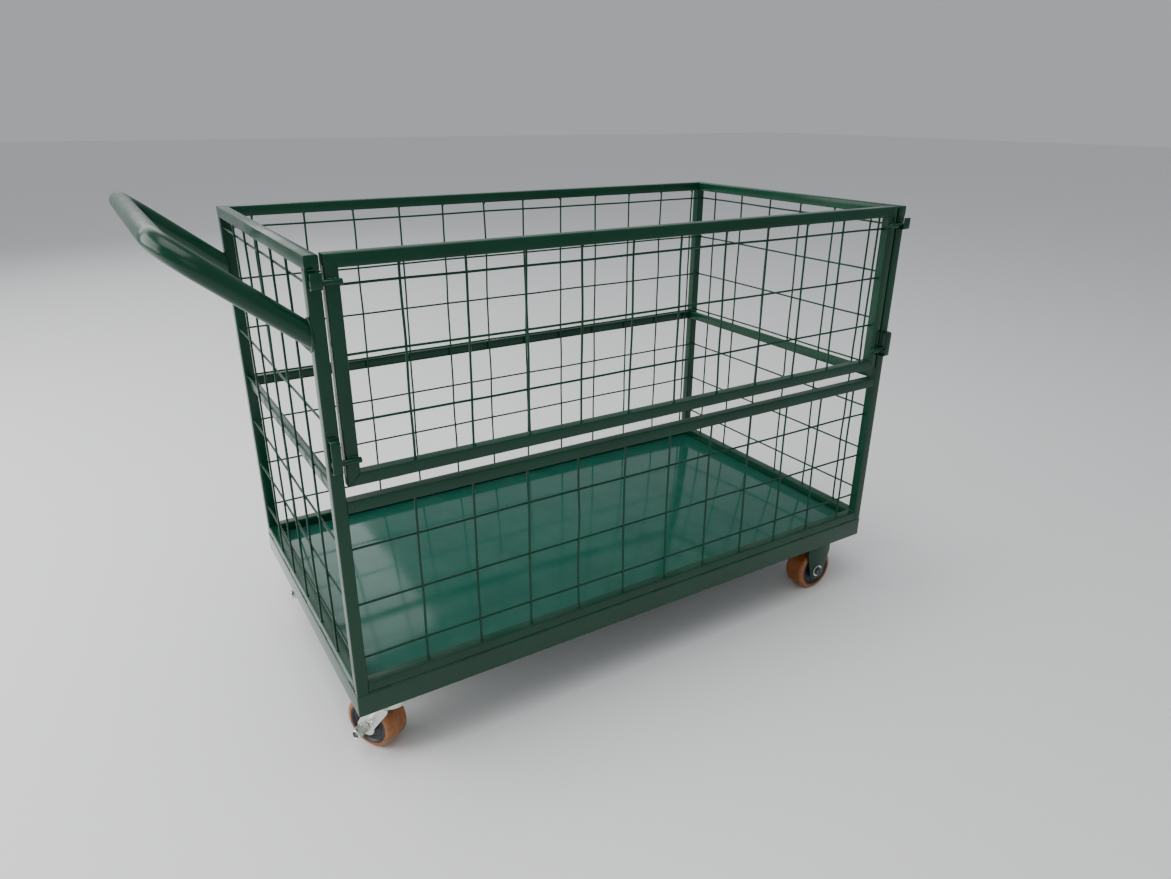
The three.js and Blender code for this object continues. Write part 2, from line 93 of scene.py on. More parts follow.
camera_data = bpy.data.cameras.new("camera")
camera_data.lens = LENS_MM
camera_data.sensor_width = 36.0
camera_data.clip_end = 200.0
camera = bpy.data.objects.new("camera", camera_data)
bpy.context.scene.collection.objects.link(camera)
turn = Matrix.Rotation(CAMERA_AZIMUTH, 4, "Z")
tilt = Matrix.Rotation(math.pi / 2 - CAMERA_DOWN, 4, "X")
roll = Matrix.Rotation(CAMERA_ROLL, 4, "Z")
camera.matrix_world = Matrix.Translation(CAMERA_PLACE) @ turn @ tilt @ roll
bpy.context.scene.camera = camera
print("camera at", [round(v, 3) for v in CAMERA_PLACE])

# %% [markdown]
# ## The light
# Gloss paint shows its surroundings, so large soft panels matter more than their power.
# One panel stands high behind the cart and shines in the left of the deck, one on the
# left brightens the handle end, one hangs above, and the front gets only a weak fill.

# %% Lights
def area_light(name, place, target, width, height, power, tint=(1.0, 1.0, 1.0)):
    """A rectangular soft light that faces a point."""
    data = bpy.data.lights.new(name, "AREA")
    data.shape = "RECTANGLE"
    data.size = width
    data.size_y = height
    data.energy = power
    data.color = tint
    lamp = bpy.data.objects.new(name, data)
    bpy.context.scene.collection.objects.link(lamp)
    aim = Vector(target) - Vector(place)
    turned = aim.to_track_quat("-Z", "Y").to_matrix().to_4x4()
    lamp.matrix_world = Matrix.Translation(Vector(place)) @ turned
    return lamp


area_light("back_panel", (-1.1, 4.6, 3.2), (-0.1, 0.0, 0.4), 4.0, 2.9, 58.0)
area_light("left_panel", (-3.4, 1.2, 1.9), (-0.4, 0.0, 0.4), 3.2, 2.8, 125.0)
area_light("top_panel", (-0.9, -0.6, 4.0), (-0.2, 0.0, 0.0), 3.0, 3.0, 85.0)
area_light("front_fill", (-1.6, -4.0, 2.4), (0.0, 0.0, 0.4), 2.5, 2.0, 12.0)

world = bpy.data.worlds.new("studio")
bpy.context.scene.world = world
world.use_nodes = True
backdrop = world.node_tree.nodes["Background"]
backdrop.inputs["Color"].default_value = (0.93, 0.96, 1.0, 1.0)
backdrop.inputs["Strength"].default_value = 0.44
print("four panels and a pale sky")

# %% [markdown]
# ## Shared shader effects
# Several finishes need the same small effects, so each is a node group with named
# sockets, built once. A group only puts out colours, masks and heights: the shader and
# its uniform settings stay in each material, where they can be read and changed.

# %% Node group helpers
def new_group(name, ins, outs):
    """A shader node group with float or colour sockets; returns it with its two ends."""
    group = bpy.data.node_groups.new(name, "ShaderNodeTree")
    kinds = {"float": "NodeSocketFloat", "colour": "NodeSocketColor"}
    for label, kind, value in ins:
        socket = group.interface.new_socket(label, in_out="INPUT", socket_type=kinds[kind])
        socket.default_value = value
    for label, kind in outs:
        group.interface.new_socket(label, in_out="OUTPUT", socket_type=kinds[kind])
    start = group.nodes.new("NodeGroupInput")
    end = group.nodes.new("NodeGroupOutput")
    return group, start, end


def add_node(tree, kind, values=None, **settings):
    """A node of a kind, with its settings and unlinked input values."""
    node = tree.nodes.new(kind)
    for key, value in settings.items():
        setattr(node, key, value)
    for key, value in (values or {}).items():
        node.inputs[key].default_value = value
    return node


def object_place(tree):
    """The coordinate that every pattern lies on: a point of the object, in metres."""
    return add_node(tree, "ShaderNodeTexCoord").outputs["Object"]


def noise(tree, where, scale, detail=2.0, rough=0.5):
    """A noise texture on a coordinate; returns its factor socket."""
    values = {"Scale": scale, "Detail": detail, "Roughness": rough}
    node = add_node(tree, "ShaderNodeTexNoise", values)
    tree.links.new(where, node.inputs["Vector"])
    return node.outputs["Fac"]


def ramp(tree, source, low, high, out_low=0.0, out_high=1.0):
    """Spreads the part of a value between low and high over a new range."""
    values = {"From Min": low, "From Max": high, "To Min": out_low, "To Max": out_high}
    node = add_node(tree, "ShaderNodeMapRange", values)
    tree.links.new(source, node.inputs["Value"])
    return node.outputs["Result"]


def facing_up(tree, low, high):
    """A mask that grows from 0 to 1 as the surface turns level."""
    split = add_node(tree, "ShaderNodeSeparateXYZ")
    geometry = add_node(tree, "ShaderNodeNewGeometry")
    tree.links.new(geometry.outputs["Normal"], split.inputs["Vector"])
    return ramp(tree, split.outputs["Z"], low, high)


def maths(tree, operation, first, second):
    """One arithmetic node; either side is a socket or a number."""
    node = add_node(tree, "ShaderNodeMath", operation=operation)
    for index, value in enumerate((first, second)):
        if isinstance(value, (int, float)):
            node.inputs[index].default_value = value
        else:
            tree.links.new(value, node.inputs[index])
    return node.outputs["Value"]


def mix_colour(tree, factor, first, second):
    """Mixes two colours; each is a socket or a tuple."""
    node = add_node(tree, "ShaderNodeMix", data_type="RGBA")
    tree.links.new(factor, node.inputs["Factor"])
    for index, value in ((6, first), (7, second)):
        if isinstance(value, tuple):
            node.inputs[index].default_value = (*value, 1.0)
        else:
            tree.links.new(value, node.inputs[index])
    return node.outputs[2]


print("node helpers ready")

# %% [markdown]
# ### Sprayed enamel
# Sprayed paint is never one flat colour: it pools a little darker, it has the fine
# dimples called orange peel, and dust nibs set in it. The group gives all of these, and
# the sheet under the paint adds its own slow waves, which bend reflections.

# %% Enamel group
enamel, start, end = new_group(
    "sprayed_enamel",
    [
        ("Colour", "colour", (0.0, 0.0, 0.0, 1.0)),
        ("Pooled Colour", "colour", (0.0, 0.0, 0.0, 1.0)),
        ("Peel", "float", 0.3),
        ("Waves", "float", 0.3),
        ("Nibs", "float", 0.5),
        ("Gloss Low", "float", 0.12),
        ("Gloss High", "float", 0.3),
    ],
    [("Colour", "colour"), ("Roughness", "float"), ("Height", "float")],
)
where = object_place(enamel)
PEEL_SCALE = 520.0
WAVE_SCALE = 7.0
WAVE_GAIN = 30.0
pool = ramp(enamel, noise(enamel, where, 9.0, 3.0), 0.35, 0.7)
toned = mix_colour(enamel, pool, start.outputs["Colour"], start.outputs["Pooled Colour"])
nib_cells = add_node(enamel, "ShaderNodeTexVoronoi", {"Scale": 160.0, "Randomness": 1.0})
enamel.links.new(where, nib_cells.inputs["Vector"])
nib_dots = ramp(enamel, nib_cells.outputs["Distance"], 0.0, 0.12, 1.0, 0.0)
nib_spread = ramp(enamel, noise(enamel, where, 24.0, 2.0), 0.62, 0.7)
nib_mask = maths(enamel, "MULTIPLY", nib_dots, nib_spread)
nib_mask = maths(enamel, "MULTIPLY", nib_mask, start.outputs["Nibs"])
speckled = mix_colour(enamel, nib_mask, toned, (0.34, 0.42, 0.38))
enamel.links.new(speckled, end.inputs["Colour"])
haze = add_node(enamel, "ShaderNodeMapRange", {"From Min": 0.3, "From Max": 0.75})
enamel.links.new(noise(enamel, where, 18.0, 4.0), haze.inputs["Value"])
enamel.links.new(start.outputs["Gloss Low"], haze.inputs["To Min"])
enamel.links.new(start.outputs["Gloss High"], haze.inputs["To Max"])
enamel.links.new(haze.outputs["Result"], end.inputs["Roughness"])
peel = maths(enamel, "MULTIPLY", noise(enamel, where, PEEL_SCALE, 1.0), start.outputs["Peel"])
waves = maths(enamel, "MULTIPLY", noise(enamel, where, WAVE_SCALE, 1.0), start.outputs["Waves"])
bumps = maths(enamel, "ADD", peel, maths(enamel, "MULTIPLY", waves, WAVE_GAIN))
bumps = maths(enamel, "ADD", bumps, nib_mask)
enamel.links.new(bumps, end.inputs["Height"])
print("enamel group has", len(enamel.nodes), "nodes")

# %% [markdown]
# ### Rubbed edges and settled dust
# Corners are where paint is thin and hands and loads rub it. The bevel node compares the
# true normal with a rounded one, and where they differ there is an edge. Dust is told
# by the normal too: it settles on what faces up.

# %% Edge and dust groups
edges, start, end = new_group(
    "rubbed_edges",
    [("Radius", "float", 0.0012), ("Amount", "float", 0.5), ("Patches", "float", 60.0)],
    [("Mask", "float")],
)
where = object_place(edges)
rounded = add_node(edges, "ShaderNodeBevel", samples=4)
edges.links.new(start.outputs["Radius"], rounded.inputs["Radius"])
true_normal = add_node(edges, "ShaderNodeNewGeometry").outputs["Normal"]
likeness = add_node(edges, "ShaderNodeVectorMath", operation="DOT_PRODUCT")
edges.links.new(rounded.outputs["Normal"], likeness.inputs[0])
edges.links.new(true_normal, likeness.inputs[1])
corner = ramp(edges, likeness.outputs["Value"], 0.93, 0.8)
patchy = add_node(edges, "ShaderNodeTexNoise", {"Detail": 4.0})
edges.links.new(where, patchy.inputs["Vector"])
edges.links.new(start.outputs["Patches"], patchy.inputs["Scale"])
chips = ramp(edges, patchy.outputs["Fac"], 0.56, 0.62)
chipped = maths(edges, "MULTIPLY", corner, chips)
chipped = maths(edges, "MULTIPLY", chipped, start.outputs["Amount"])
edges.links.new(chipped, end.inputs["Mask"])

dust, start, end = new_group("settled_dust", [("Amount", "float", 0.3)], [("Mask", "float")])
where = object_place(dust)
clouds = ramp(dust, noise(dust, where, 14.0, 5.0, 0.6), 0.42, 0.75)
layer = maths(dust, "MULTIPLY", facing_up(dust, 0.6, 1.0), clouds)
layer = maths(dust, "MULTIPLY", layer, start.outputs["Amount"])
dust.links.new(layer, end.inputs["Mask"])
print("edge and dust groups ready")

# %% [markdown]
# ## The finishes
# Each finish is a Principled shader with its own settings, fed by the groups above. The
# green enamel is dark and glossy; the deck has the same paint with a higher gloss, and its
# level faces get a lighter green, a painted highlight for the lamps that the wide sheet reflects.

# %% Material helper and green enamel
def new_material(name, **settings):
    """A material with a Principled shader; settings name its sockets with _ for spaces."""
    material = bpy.data.materials.new(name)
    material.use_nodes = True
    shader = material.node_tree.nodes["Principled BSDF"]
    for key, value in settings.items():
        shader.inputs[key.replace("_", " ")].default_value = value
    return material, material.node_tree, shader


def use_group(tree, group, **values):
    """Places a node group in a material and sets its inputs."""
    node = tree.nodes.new("ShaderNodeGroup")
    node.node_tree = group
    for key, value in values.items():
        node.inputs[key.replace("_", " ")].default_value = value
    return node


def bump(tree, shader, height, strength, distance):
    """Feeds a height to the shader's normal."""
    node = add_node(tree, "ShaderNodeBump", {"Strength": strength, "Distance": distance})
    tree.links.new(height, node.inputs["Height"])
    tree.links.new(node.outputs["Normal"], shader.inputs["Normal"])


GREEN = ((0.0014, 0.045, 0.021), (0.0010, 0.034, 0.016))
# the deck's level tones: the green lightened as painted light, for the lamps that the level sheet
# reflects
LIT_DECK_GREEN = ((0.0085, 0.090, 0.062), (0.0070, 0.078, 0.053))
PAINT_IOR = 1.37
DECK_IOR = 1.42
WIRE_IOR = 1.33
BARE_STEEL = (0.30, 0.33, 0.31)
DUST_TINT = (0.32, 0.36, 0.34)


def painted(name, lit_level_greens, ior, peel, waves, nibs, gloss, wear, dusty):
    """Green enamel with peel, waves, nibs, gloss and wear, and its own tones on level faces; a
    lighter level tone is painted light.
    """
    material, tree, shader = new_material(name, IOR=ior)
    film = use_group(
        tree, enamel, Peel=peel, Waves=waves, Nibs=nibs, Gloss_Low=gloss[0], Gloss_High=gloss[1],
    )
    # level faces take the level tones; the deck's lighter ones are a painted highlight
    level = facing_up(tree, 0.3, 0.9)
    for tone, upright_green, lit_level_green in zip(("Colour", "Pooled Colour"), GREEN, lit_level_greens):
        tree.links.new(mix_colour(tree, level, upright_green, lit_level_green), film.inputs[tone])
    rub = use_group(tree, edges, Amount=wear)
    veil = use_group(tree, dust, Amount=dusty)
    colour = mix_colour(tree, rub.outputs["Mask"], film.outputs["Colour"], BARE_STEEL)
    colour = mix_colour(tree, veil.outputs["Mask"], colour, DUST_TINT)
    tree.links.new(colour, shader.inputs["Base Color"])
    dull = maths(tree, "MULTIPLY", veil.outputs["Mask"], 0.5)
    tree.links.new(maths(tree, "ADD", film.outputs["Roughness"], dull), shader.inputs["Roughness"])
    bump(tree, shader, film.outputs["Height"], 0.35, 0.0004)
    return material


tube_paint = painted("green_enamel", GREEN, PAINT_IOR, 0.30, 0.10, 0.5, (0.16, 0.30), 0.35, 0.05)
deck_paint = painted(
    "deck_enamel", LIT_DECK_GREEN, DECK_IOR, 0.12, 0.08, 0.9, (0.07, 0.11), 0.25, 0.04
)
wire_paint = painted("wire_enamel", GREEN, WIRE_IOR, 0.25, 0.0, 0.3, (0.22, 0.38), 0.0, 0.0)
print("three coats of green mixed")

# %% [markdown]
# ### Zinc, polyurethane and nylon
# The caster forks are pressed steel with a bright zinc plate, which is blotchy and
# faintly iridescent where it was passivated. The treads are cast polyurethane: slightly
# see-through, so light goes a little way in. The hubs are black nylon, moulded matt.

# %% Caster materials
zinc, tree, shader = new_material("bright_zinc", Metallic=1.0, IOR=1.5)
where = object_place(tree)
blotch = ramp(tree, noise(tree, where, 38.0, 5.0), 0.3, 0.7)
plate_tone = mix_colour(tree, blotch, (0.58, 0.61, 0.56), (0.72, 0.75, 0.73))
tarnish = ramp(tree, noise(tree, where, 90.0, 3.0), 0.6, 0.75)
plate_tone = mix_colour(tree, tarnish, plate_tone, (0.50, 0.52, 0.40))
tree.links.new(plate_tone, shader.inputs["Base Color"])
zinc_rough = ramp(tree, noise(tree, where, 60.0, 6.0), 0.25, 0.8, 0.24, 0.46)
tree.links.new(zinc_rough, shader.inputs["Roughness"])
bump(tree, shader, noise(tree, where, 700.0, 2.0), 0.2, 0.0002)

tread_material, tree, shader = new_material(
    "cast_polyurethane", IOR=1.5, Subsurface_Weight=0.25, Subsurface_Scale=0.004,
    Subsurface_Radius=(1.0, 0.4, 0.12), Coat_Weight=0.15, Coat_Roughness=0.25,
)
where = object_place(tree)
swirl = ramp(tree, noise(tree, where, 32.0, 4.0), 0.3, 0.7)
body_tone = mix_colour(tree, swirl, (0.25, 0.076, 0.010), (0.32, 0.112, 0.016))
grime = ramp(tree, noise(tree, where, 75.0, 6.0, 0.65), 0.52, 0.72)
grimy = mix_colour(tree, maths(tree, "MULTIPLY", grime, 0.7), body_tone, (0.06, 0.024, 0.012))
tree.links.new(grimy, shader.inputs["Base Color"])
tread_rough = ramp(tree, noise(tree, where, 120.0, 4.0), 0.3, 0.7, 0.3, 0.55)
tree.links.new(tread_rough, shader.inputs["Roughness"])
bump(tree, shader, noise(tree, where, 260.0, 4.0), 0.35, 0.0004)

hub_material, tree, shader = new_material("moulded_nylon", IOR=1.5)
where = object_place(tree)
scuff = ramp(tree, noise(tree, where, 150.0, 5.0), 0.5, 0.75)
hub_tone = mix_colour(tree, scuff, (0.010, 0.010, 0.013), (0.035, 0.034, 0.036))
tree.links.new(hub_tone, shader.inputs["Base Color"])
tree.links.new(ramp(tree, scuff, 0.0, 1.0, 0.38, 0.62), shader.inputs["Roughness"])
bump(tree, shader, noise(tree, where, 900.0, 2.0), 0.3, 0.0002)

floor_material, tree, shader = new_material("studio_floor", Roughness=0.7)
shader.inputs["Base Color"].default_value = (0.88, 0.88, 0.88, 1.0)
floor.data.materials.append(floor_material)
print("zinc, polyurethane, nylon and floor ready")

# %% [markdown]
# ## Modelling helpers
# An operator acts on everything that is selected, so each step starts by clearing the
# selection. These few helpers hold the habits of hand modelling: pick faces or edges by
# where they are, bevel, apply a modifier, smooth what should look smooth.

# %% Selection and finishing
def only(obj):
    """Makes one object the whole selection and the active one."""
    deselect()
    obj.select_set(True)
    bpy.context.view_layer.objects.active = obj


def edit(obj, mode="VERT"):
    """Enters edit mode on one object with nothing selected."""
    only(obj)
    bpy.ops.object.mode_set(mode="EDIT")
    bpy.ops.mesh.select_mode(type=mode)
    bpy.ops.mesh.select_all(action="DESELECT")


def pick_edges(obj, test):
    """Selects the edges whose two ends pass a test; used in edit mode."""
    mesh = bmesh.from_edit_mesh(obj.data)
    for edge in mesh.edges:
        first, second = edge.verts
        if test(first.co, second.co):
            edge.select_set(True)
    bmesh.update_edit_mesh(obj.data)


def round_edges(obj, test, offset, segments):
    """Rounds the edges whose two ends pass a test."""
    edit(obj, "EDGE")
    pick_edges(obj, test)
    bpy.ops.mesh.bevel(offset=offset, segments=segments, affect="EDGES")
    bpy.ops.object.mode_set(mode="OBJECT")


def apply_transform(obj):
    """Moves an object's place into its mesh, so that the object sits at the origin."""
    only(obj)
    bpy.ops.object.transform_apply(location=True, rotation=True, scale=True)


def modify(obj, kind, **settings):
    """Adds a modifier with its settings and applies it at once."""
    only(obj)
    modifier = obj.modifiers.new(kind.lower(), kind)
    for key, value in settings.items():
        setattr(modifier, key, value)
    bpy.ops.object.modifier_apply(modifier=modifier.name)


def soften(obj, width):
    """Rounds every edge that is still sharp, a little."""
    modify(
        obj, "BEVEL", width=width, segments=2, limit_method="ANGLE",
        angle_limit=math.radians(50),
    )


def thicken(obj, sheet, offset):
    """Gives a drawn sheet its thickness: inwards at -1, on both sides at 0."""
    modify(obj, "SOLIDIFY", thickness=sheet, offset=offset, use_even_offset=True)


def outward(obj):
    """Merges doubled points and turns every face outwards."""
    edit(obj)
    bpy.ops.mesh.select_all(action="SELECT")
    bpy.ops.mesh.remove_doubles(threshold=1e-6)
    bpy.ops.mesh.normals_make_consistent(inside=False)
    bpy.ops.object.mode_set(mode="OBJECT")


def smooth(obj, angle=35.0):
    """Smooth shading that keeps edges sharper than an angle."""
    only(obj)
    bpy.ops.object.shade_smooth_by_angle(angle=math.radians(angle))


def join(parts, name):
    """Joins several meshes into the first and names it."""
    deselect()
    for part in parts:
        part.select_set(True)
    bpy.context.view_layer.objects.active = parts[0]
    if len(parts) > 1:
        bpy.ops.object.join()
    parts[0].name = name
    return parts[0]


def copy_of(obj, name):
    """A copy with its own mesh."""
    twin = obj.copy()
    twin.data = obj.data.copy()
    twin.name = name
    bpy.context.scene.collection.objects.link(twin)
    return twin


def finish_piece(obj, name, material, body, replaced=()):
    """Names a piece, paints it, and ties it to the body that it moves with."""
    obj.name = name
    obj.data.materials.clear()
    obj.data.materials.append(material)
    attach(obj, body)
    if replaced:
        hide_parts(*replaced)
    return obj


def box_piece(low, high):
    """A cube stretched between two corners, with its place in its mesh."""
    deselect()
    bpy.ops.mesh.primitive_cube_add(size=1.0, location=(low + high) / 2)
    piece = bpy.context.object
    piece.scale = high - low
    apply_transform(piece)
    return piece


def ringed_rod(start, end, radius, ring_gap):
    """A thin round rod between two points, with rings along it to shape it by."""
    run = end - start
    deselect()
    bpy.ops.mesh.primitive_cylinder_add(
        vertices=10, radius=radius, depth=run.length,
        location=(start + end) / 2, rotation=run.to_track_quat("Z", "Y").to_euler(),
    )
    piece = bpy.context.object
    apply_transform(piece)
    edit(piece, "EDGE")
    pick_edges(piece, lambda a, b: (a - b).length > run.length / 2)
    bpy.ops.mesh.subdivide(number_cuts=max(2, round(run.length / ring_gap)))
    bpy.ops.object.mode_set(mode="OBJECT")
    return piece


print("modelling helpers ready")

# %% [markdown]
# ## Square tube
# The cage is welded from 20 mm square tube. Cold-rolled tube has rounded corners, and
# those corners are what catch the light. A cube is stretched to the CAD part's box, and
# its four long edges are bevelled. Its ends run a touch into their neighbours, as a
# welded joint does.

# %% Tube maker
TUBE_CORNER = 0.0022
TUBE_SINK = 0.0005


def square_tube(node, axis, sink=TUBE_SINK):
    """A rounded tube on a CAD node's box, lying along one axis."""
    low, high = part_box(node)
    low[axis] -= sink
    high[axis] += sink
    tube = box_piece(low, high)
    half = (high[axis] - low[axis]) / 2
    round_edges(tube, lambda a, b: abs(a[axis] - b[axis]) > half, TUBE_CORNER, 4)
    return tube


sides = ("left", "right")
faces = ("front", "back")
frame_tubes = {f"post_{side}_{face}": 2 for side in sides for face in faces}
for rail in ("bottom_rail", "mid_rail"):
    frame_tubes |= {f"{rail}_{face}": 0 for face in faces}
    frame_tubes |= {f"{rail}_{side}": 1 for side in sides}
frame_tubes |= {"top_rail_back": 0}
for node, axis in frame_tubes.items():
    tube = square_tube(node, axis)
    smooth(tube)
    finish_piece(tube, f"{node}_tube", tube_paint, "root", [node])
for side in sides:
    tube = square_tube(f"top_rail_{side}", 1, sink=0.0)
    soften(tube, 0.0006)
    smooth(tube)
    finish_piece(tube, f"top_rail_{side}_tube", tube_paint, "root", [f"top_rail_{side}"])
print("cage tubes:", len(frame_tubes) + 2)

# %% [markdown]
# ## The drop gate's frame
# The gate's four bars are cut at 45 degrees and welded at the corners. Each bar starts as
# a rounded tube on its box, and two bisects cut its ends along the mitre. The cuts are
# filled, so that a bar stays one closed piece.

# %% Gate bars
MITRES = {
    "gate_bottom_bar": (0, ((-1.0, 0.0, 1.0), (1.0, 0.0, 1.0))),
    "gate_top_bar": (0, ((-1.0, 0.0, -1.0), (1.0, 0.0, -1.0))),
    "gate_left_bar": (2, ((1.0, 0.0, -1.0), (1.0, 0.0, 1.0))),
    "gate_right_bar": (2, ((-1.0, 0.0, -1.0), (-1.0, 0.0, 1.0))),
}


def cut_off(obj, point, outside):
    """Cuts away what lies beyond a plane and closes the cut."""
    edit(obj)
    bpy.ops.mesh.select_all(action="SELECT")
    bpy.ops.mesh.bisect(
        plane_co=point, plane_no=outside, use_fill=True, clear_outer=True, threshold=1e-6
    )
    bpy.ops.object.mode_set(mode="OBJECT")


for name, (axis, ends) in MITRES.items():
    low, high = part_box(name)
    bar = square_tube(name, axis)
    for outside in ends:
        # the plane passes the bar's long edge, where the gate's corner is
        x_way, z_way = (outside[0], -outside[2]) if axis == 0 else (-outside[0], outside[2])
        corner = Vector((high.x if x_way > 0 else low.x, low.y, high.z if z_way > 0 else low.z))
        cut_off(bar, corner, outside)
    smooth(bar)
    finish_piece(bar, f"{name}_tube", tube_paint, "gate", [name])
print("gate bars mitred:", len(MITRES))

# %% [markdown]
# ## The deck
# The deck is one sheet of steel folded down on four sides, open below. A box without its
# bottom is the sheet's outer face; bevels give the press-brake folds, and Solidify adds
# the sheet's thickness inwards, so the outside keeps its exact size.

# %% Deck pan
DECK_SHEET = 0.0025
DECK_FOLD = 0.0032


def open_faces(obj, test):
    """Takes away the faces whose normal passes a test."""
    edit(obj, "FACE")
    mesh = bmesh.from_edit_mesh(obj.data)
    for face in mesh.faces:
        face.select_set(test(face.normal))
    bmesh.update_edit_mesh(obj.data)
    bpy.ops.mesh.delete(type="FACE")
    bpy.ops.object.mode_set(mode="OBJECT")


low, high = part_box("deck_pan")
deck = box_piece(low, high)
open_faces(deck, lambda normal: normal.z < -0.5)
round_edges(deck, lambda a, b: max(a.z, b.z) > low.z + 0.01, DECK_FOLD, 5)
thicken(deck, DECK_SHEET, -1.0)
smooth(deck)
finish_piece(deck, "deck_sheet", deck_paint, "root", ["deck_pan"])
print("deck sheet:", len(deck.data.polygons), "faces")

# %% [markdown]
# ## The channels below the deck
# Two wide channels carry the casters and a narrow one stiffens the middle. Each is a bent
# sheet, open upwards and at its ends, so its box loses three faces before its folds are
# rounded and its thickness is added.

# %% Channels
CHANNEL_SHEET = 0.003
CHANNEL_FOLD = 0.005
for name in ("bolster_left", "bolster_right", "deck_stiffener"):
    low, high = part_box(name)
    channel = box_piece(low, high)
    open_faces(channel, lambda normal: normal.z > 0.5 or abs(normal.y) > 0.5)
    round_edges(
        channel, lambda a, b: a.z < low.z + 0.001 and abs(a.y - b.y) > 0.1, CHANNEL_FOLD, 5
    )
    thicken(channel, CHANNEL_SHEET, -1.0)
    smooth(channel)
    finish_piece(channel, f"{name}_channel", tube_paint, "root", [name])
print("three channels bent")

# %% [markdown]
# ## The wire mesh
# The panels are 4 mm round wires, welded where they cross. The CAD mesh has square wires
# in the right places, so the places are measured from its corners. One upright and one
# level wire are modelled for each panel and copied. Real mesh is never quite straight:
# a cloud texture pushes all the wires of a panel together, so that they stay welded.

# %% Wire places
WIRE_RADIUS = 0.002
WIRE_SINK = 0.0015


def middles(values):
    """Middles of the pairs of edges that a list of coordinates holds."""
    edges_found = []
    for value in sorted(values):
        if not edges_found or value - edges_found[-1] > 1e-4:
            edges_found.append(value)
    return [(a + b) / 2 for a, b in zip(edges_found[::2], edges_found[1::2])]


def wire_places(name, across):
    """Places of a mesh's uprights and level wires, and the depth of each kind."""
    depth = 1 - across
    low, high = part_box(name)
    points = [vertex.co for vertex in nodes[name].data.vertices]
    tops = [p for p in points if high.z - p.z < 1e-5]
    ends = [p for p in points if p[across] - low[across] < 1e-5]
    uprights = middles([p[across] for p in tops])
    levels = middles([p.z for p in ends])
    return uprights, levels, *(middles([p[depth] for p in found])[0] for found in (tops, ends))


for name, across in (("mesh_front", 0), ("mesh_left", 1)):
    uprights, levels, _, _ = wire_places(name, across)
    print(name, "has", len(uprights), "uprights and", len(levels), "level wires")

# %% Wire panels
waves = bpy.data.textures.new("wire_waves", "CLOUDS")
waves.noise_depth = 1
WAVE_GRAIN = 0.13
WAVE_GRAIN_DEEP = 0.21
WIRE_RING_GAP = 0.03
WAVE_SIDEWAYS = 0.0050
WAVE_DEEP = 0.0026
PANELS = {
    "mesh_front": (0, "root"),
    "mesh_back": (0, "root"),
    "mesh_left": (1, "root"),
    "mesh_right": (1, "root"),
    "gate_mesh": (0, "gate"),
}


def copies_along(piece, axis, places):
    """Copies of a piece modelled at the first place, moved along an axis to the rest."""
    made = [piece]
    for place in places[1:]:
        twin = copy_of(piece, piece.name)
        twin.location[axis] = place - places[0]
        apply_transform(twin)
        made.append(twin)
    return made


weld_spots = {}
for name, (across, body) in PANELS.items():
    depth = 1 - across
    low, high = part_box(name)
    uprights, levels, upright_depth, level_depth = wire_places(name, across)
    made, spots = [], []
    for along, sweep, places, wire_depth in (
        (2, across, uprights, upright_depth), (across, 2, levels, level_depth),
    ):
        start, end = low.copy(), high.copy()
        start[sweep] = end[sweep] = places[0]
        start[depth] = end[depth] = wire_depth
        start[along] -= WIRE_SINK
        end[along] += WIRE_SINK
        made += copies_along(ringed_rod(start, end, WIRE_RADIUS, WIRE_RING_GAP), sweep, places)
        for place in places:
            for edge in (low[along], high[along]):
                spot = Vector()
                spot[along], spot[sweep], spot[depth] = edge, place, wire_depth
                spots.append(spot)
    panel = join(made, f"{name}_wires")
    for way, grain, push in (
        ("XYZ"[across], WAVE_GRAIN, WAVE_SIDEWAYS),
        ("XYZ"[depth], WAVE_GRAIN_DEEP, WAVE_DEEP),
        ("Z", WAVE_GRAIN_DEEP, WAVE_DEEP),
    ):
        waves.noise_scale = grain
        modify(panel, "DISPLACE", texture=waves, direction=way, strength=push)
    smooth(panel, 60.0)
    finish_piece(panel, panel.name, wire_paint, body, [name])
    weld_spots[name] = spots
print("wire ends to weld:", sum(len(spots) for spots in weld_spots.values()))

# %% [markdown]
# ## Weld spots
# Each wire end is tacked to its tube with a small lump of weld, painted over. A lump is a
# sphere with few faces, squashed and turned differently at each place by a seeded
# shuffle, so the script gives the same cart on every run.

# %% Weld spots
shuffle = random.Random(7)


def lump(place, size):
    """One small lump of weld."""
    deselect()
    spin = [shuffle.uniform(0, math.pi) for _ in range(3)]
    bpy.ops.mesh.primitive_uv_sphere_add(
        segments=8, ring_count=6, radius=size, location=place, rotation=spin
    )
    piece = bpy.context.object
    piece.scale = [shuffle.uniform(0.75, 1.2) for _ in range(3)]
    apply_transform(piece)
    return piece


def welded(lumps, name, body):
    """Joins lumps or beads of weld into one painted piece on a body."""
    welds = join(lumps, name)
    smooth(welds, 80.0)
    finish_piece(welds, name, tube_paint, body)


for name, spots in weld_spots.items():
    lumps = [lump(spot, shuffle.uniform(0.0026, 0.0036)) for spot in spots]
    welded(lumps, f"{name}_welds", PANELS[name][1])
print("weld spots placed")

# %% [markdown]
# ## Weld beads
# Tubes and deck are joined by short stitches of weld. A bead is a thin rod half sunk in
# the seam; cuts along it and a fine cloud texture give it the ripples of a welding torch.

# %% Weld bead maker
ripples = bpy.data.textures.new("weld_ripples", "CLOUDS")
ripples.noise_scale = 0.0035
ripples.noise_depth = 1
BEAD_RING_GAP = 0.0022


def bead(start, end, radius, ripple=0.0008):
    """A weld bead between two points."""
    piece = ringed_rod(Vector(start), Vector(end), radius, BEAD_RING_GAP)
    modify(piece, "DISPLACE", texture=ripples, strength=ripple)
    return piece


# %% Stitches between the deck and the bottom rails
STITCH = 0.045
STITCH_PITCH = 0.152
STITCH_RADIUS = 0.0012
STITCH_PAST_RAIL = 0.004
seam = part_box("deck_pan")[1].z + 0.0003
stitches = []


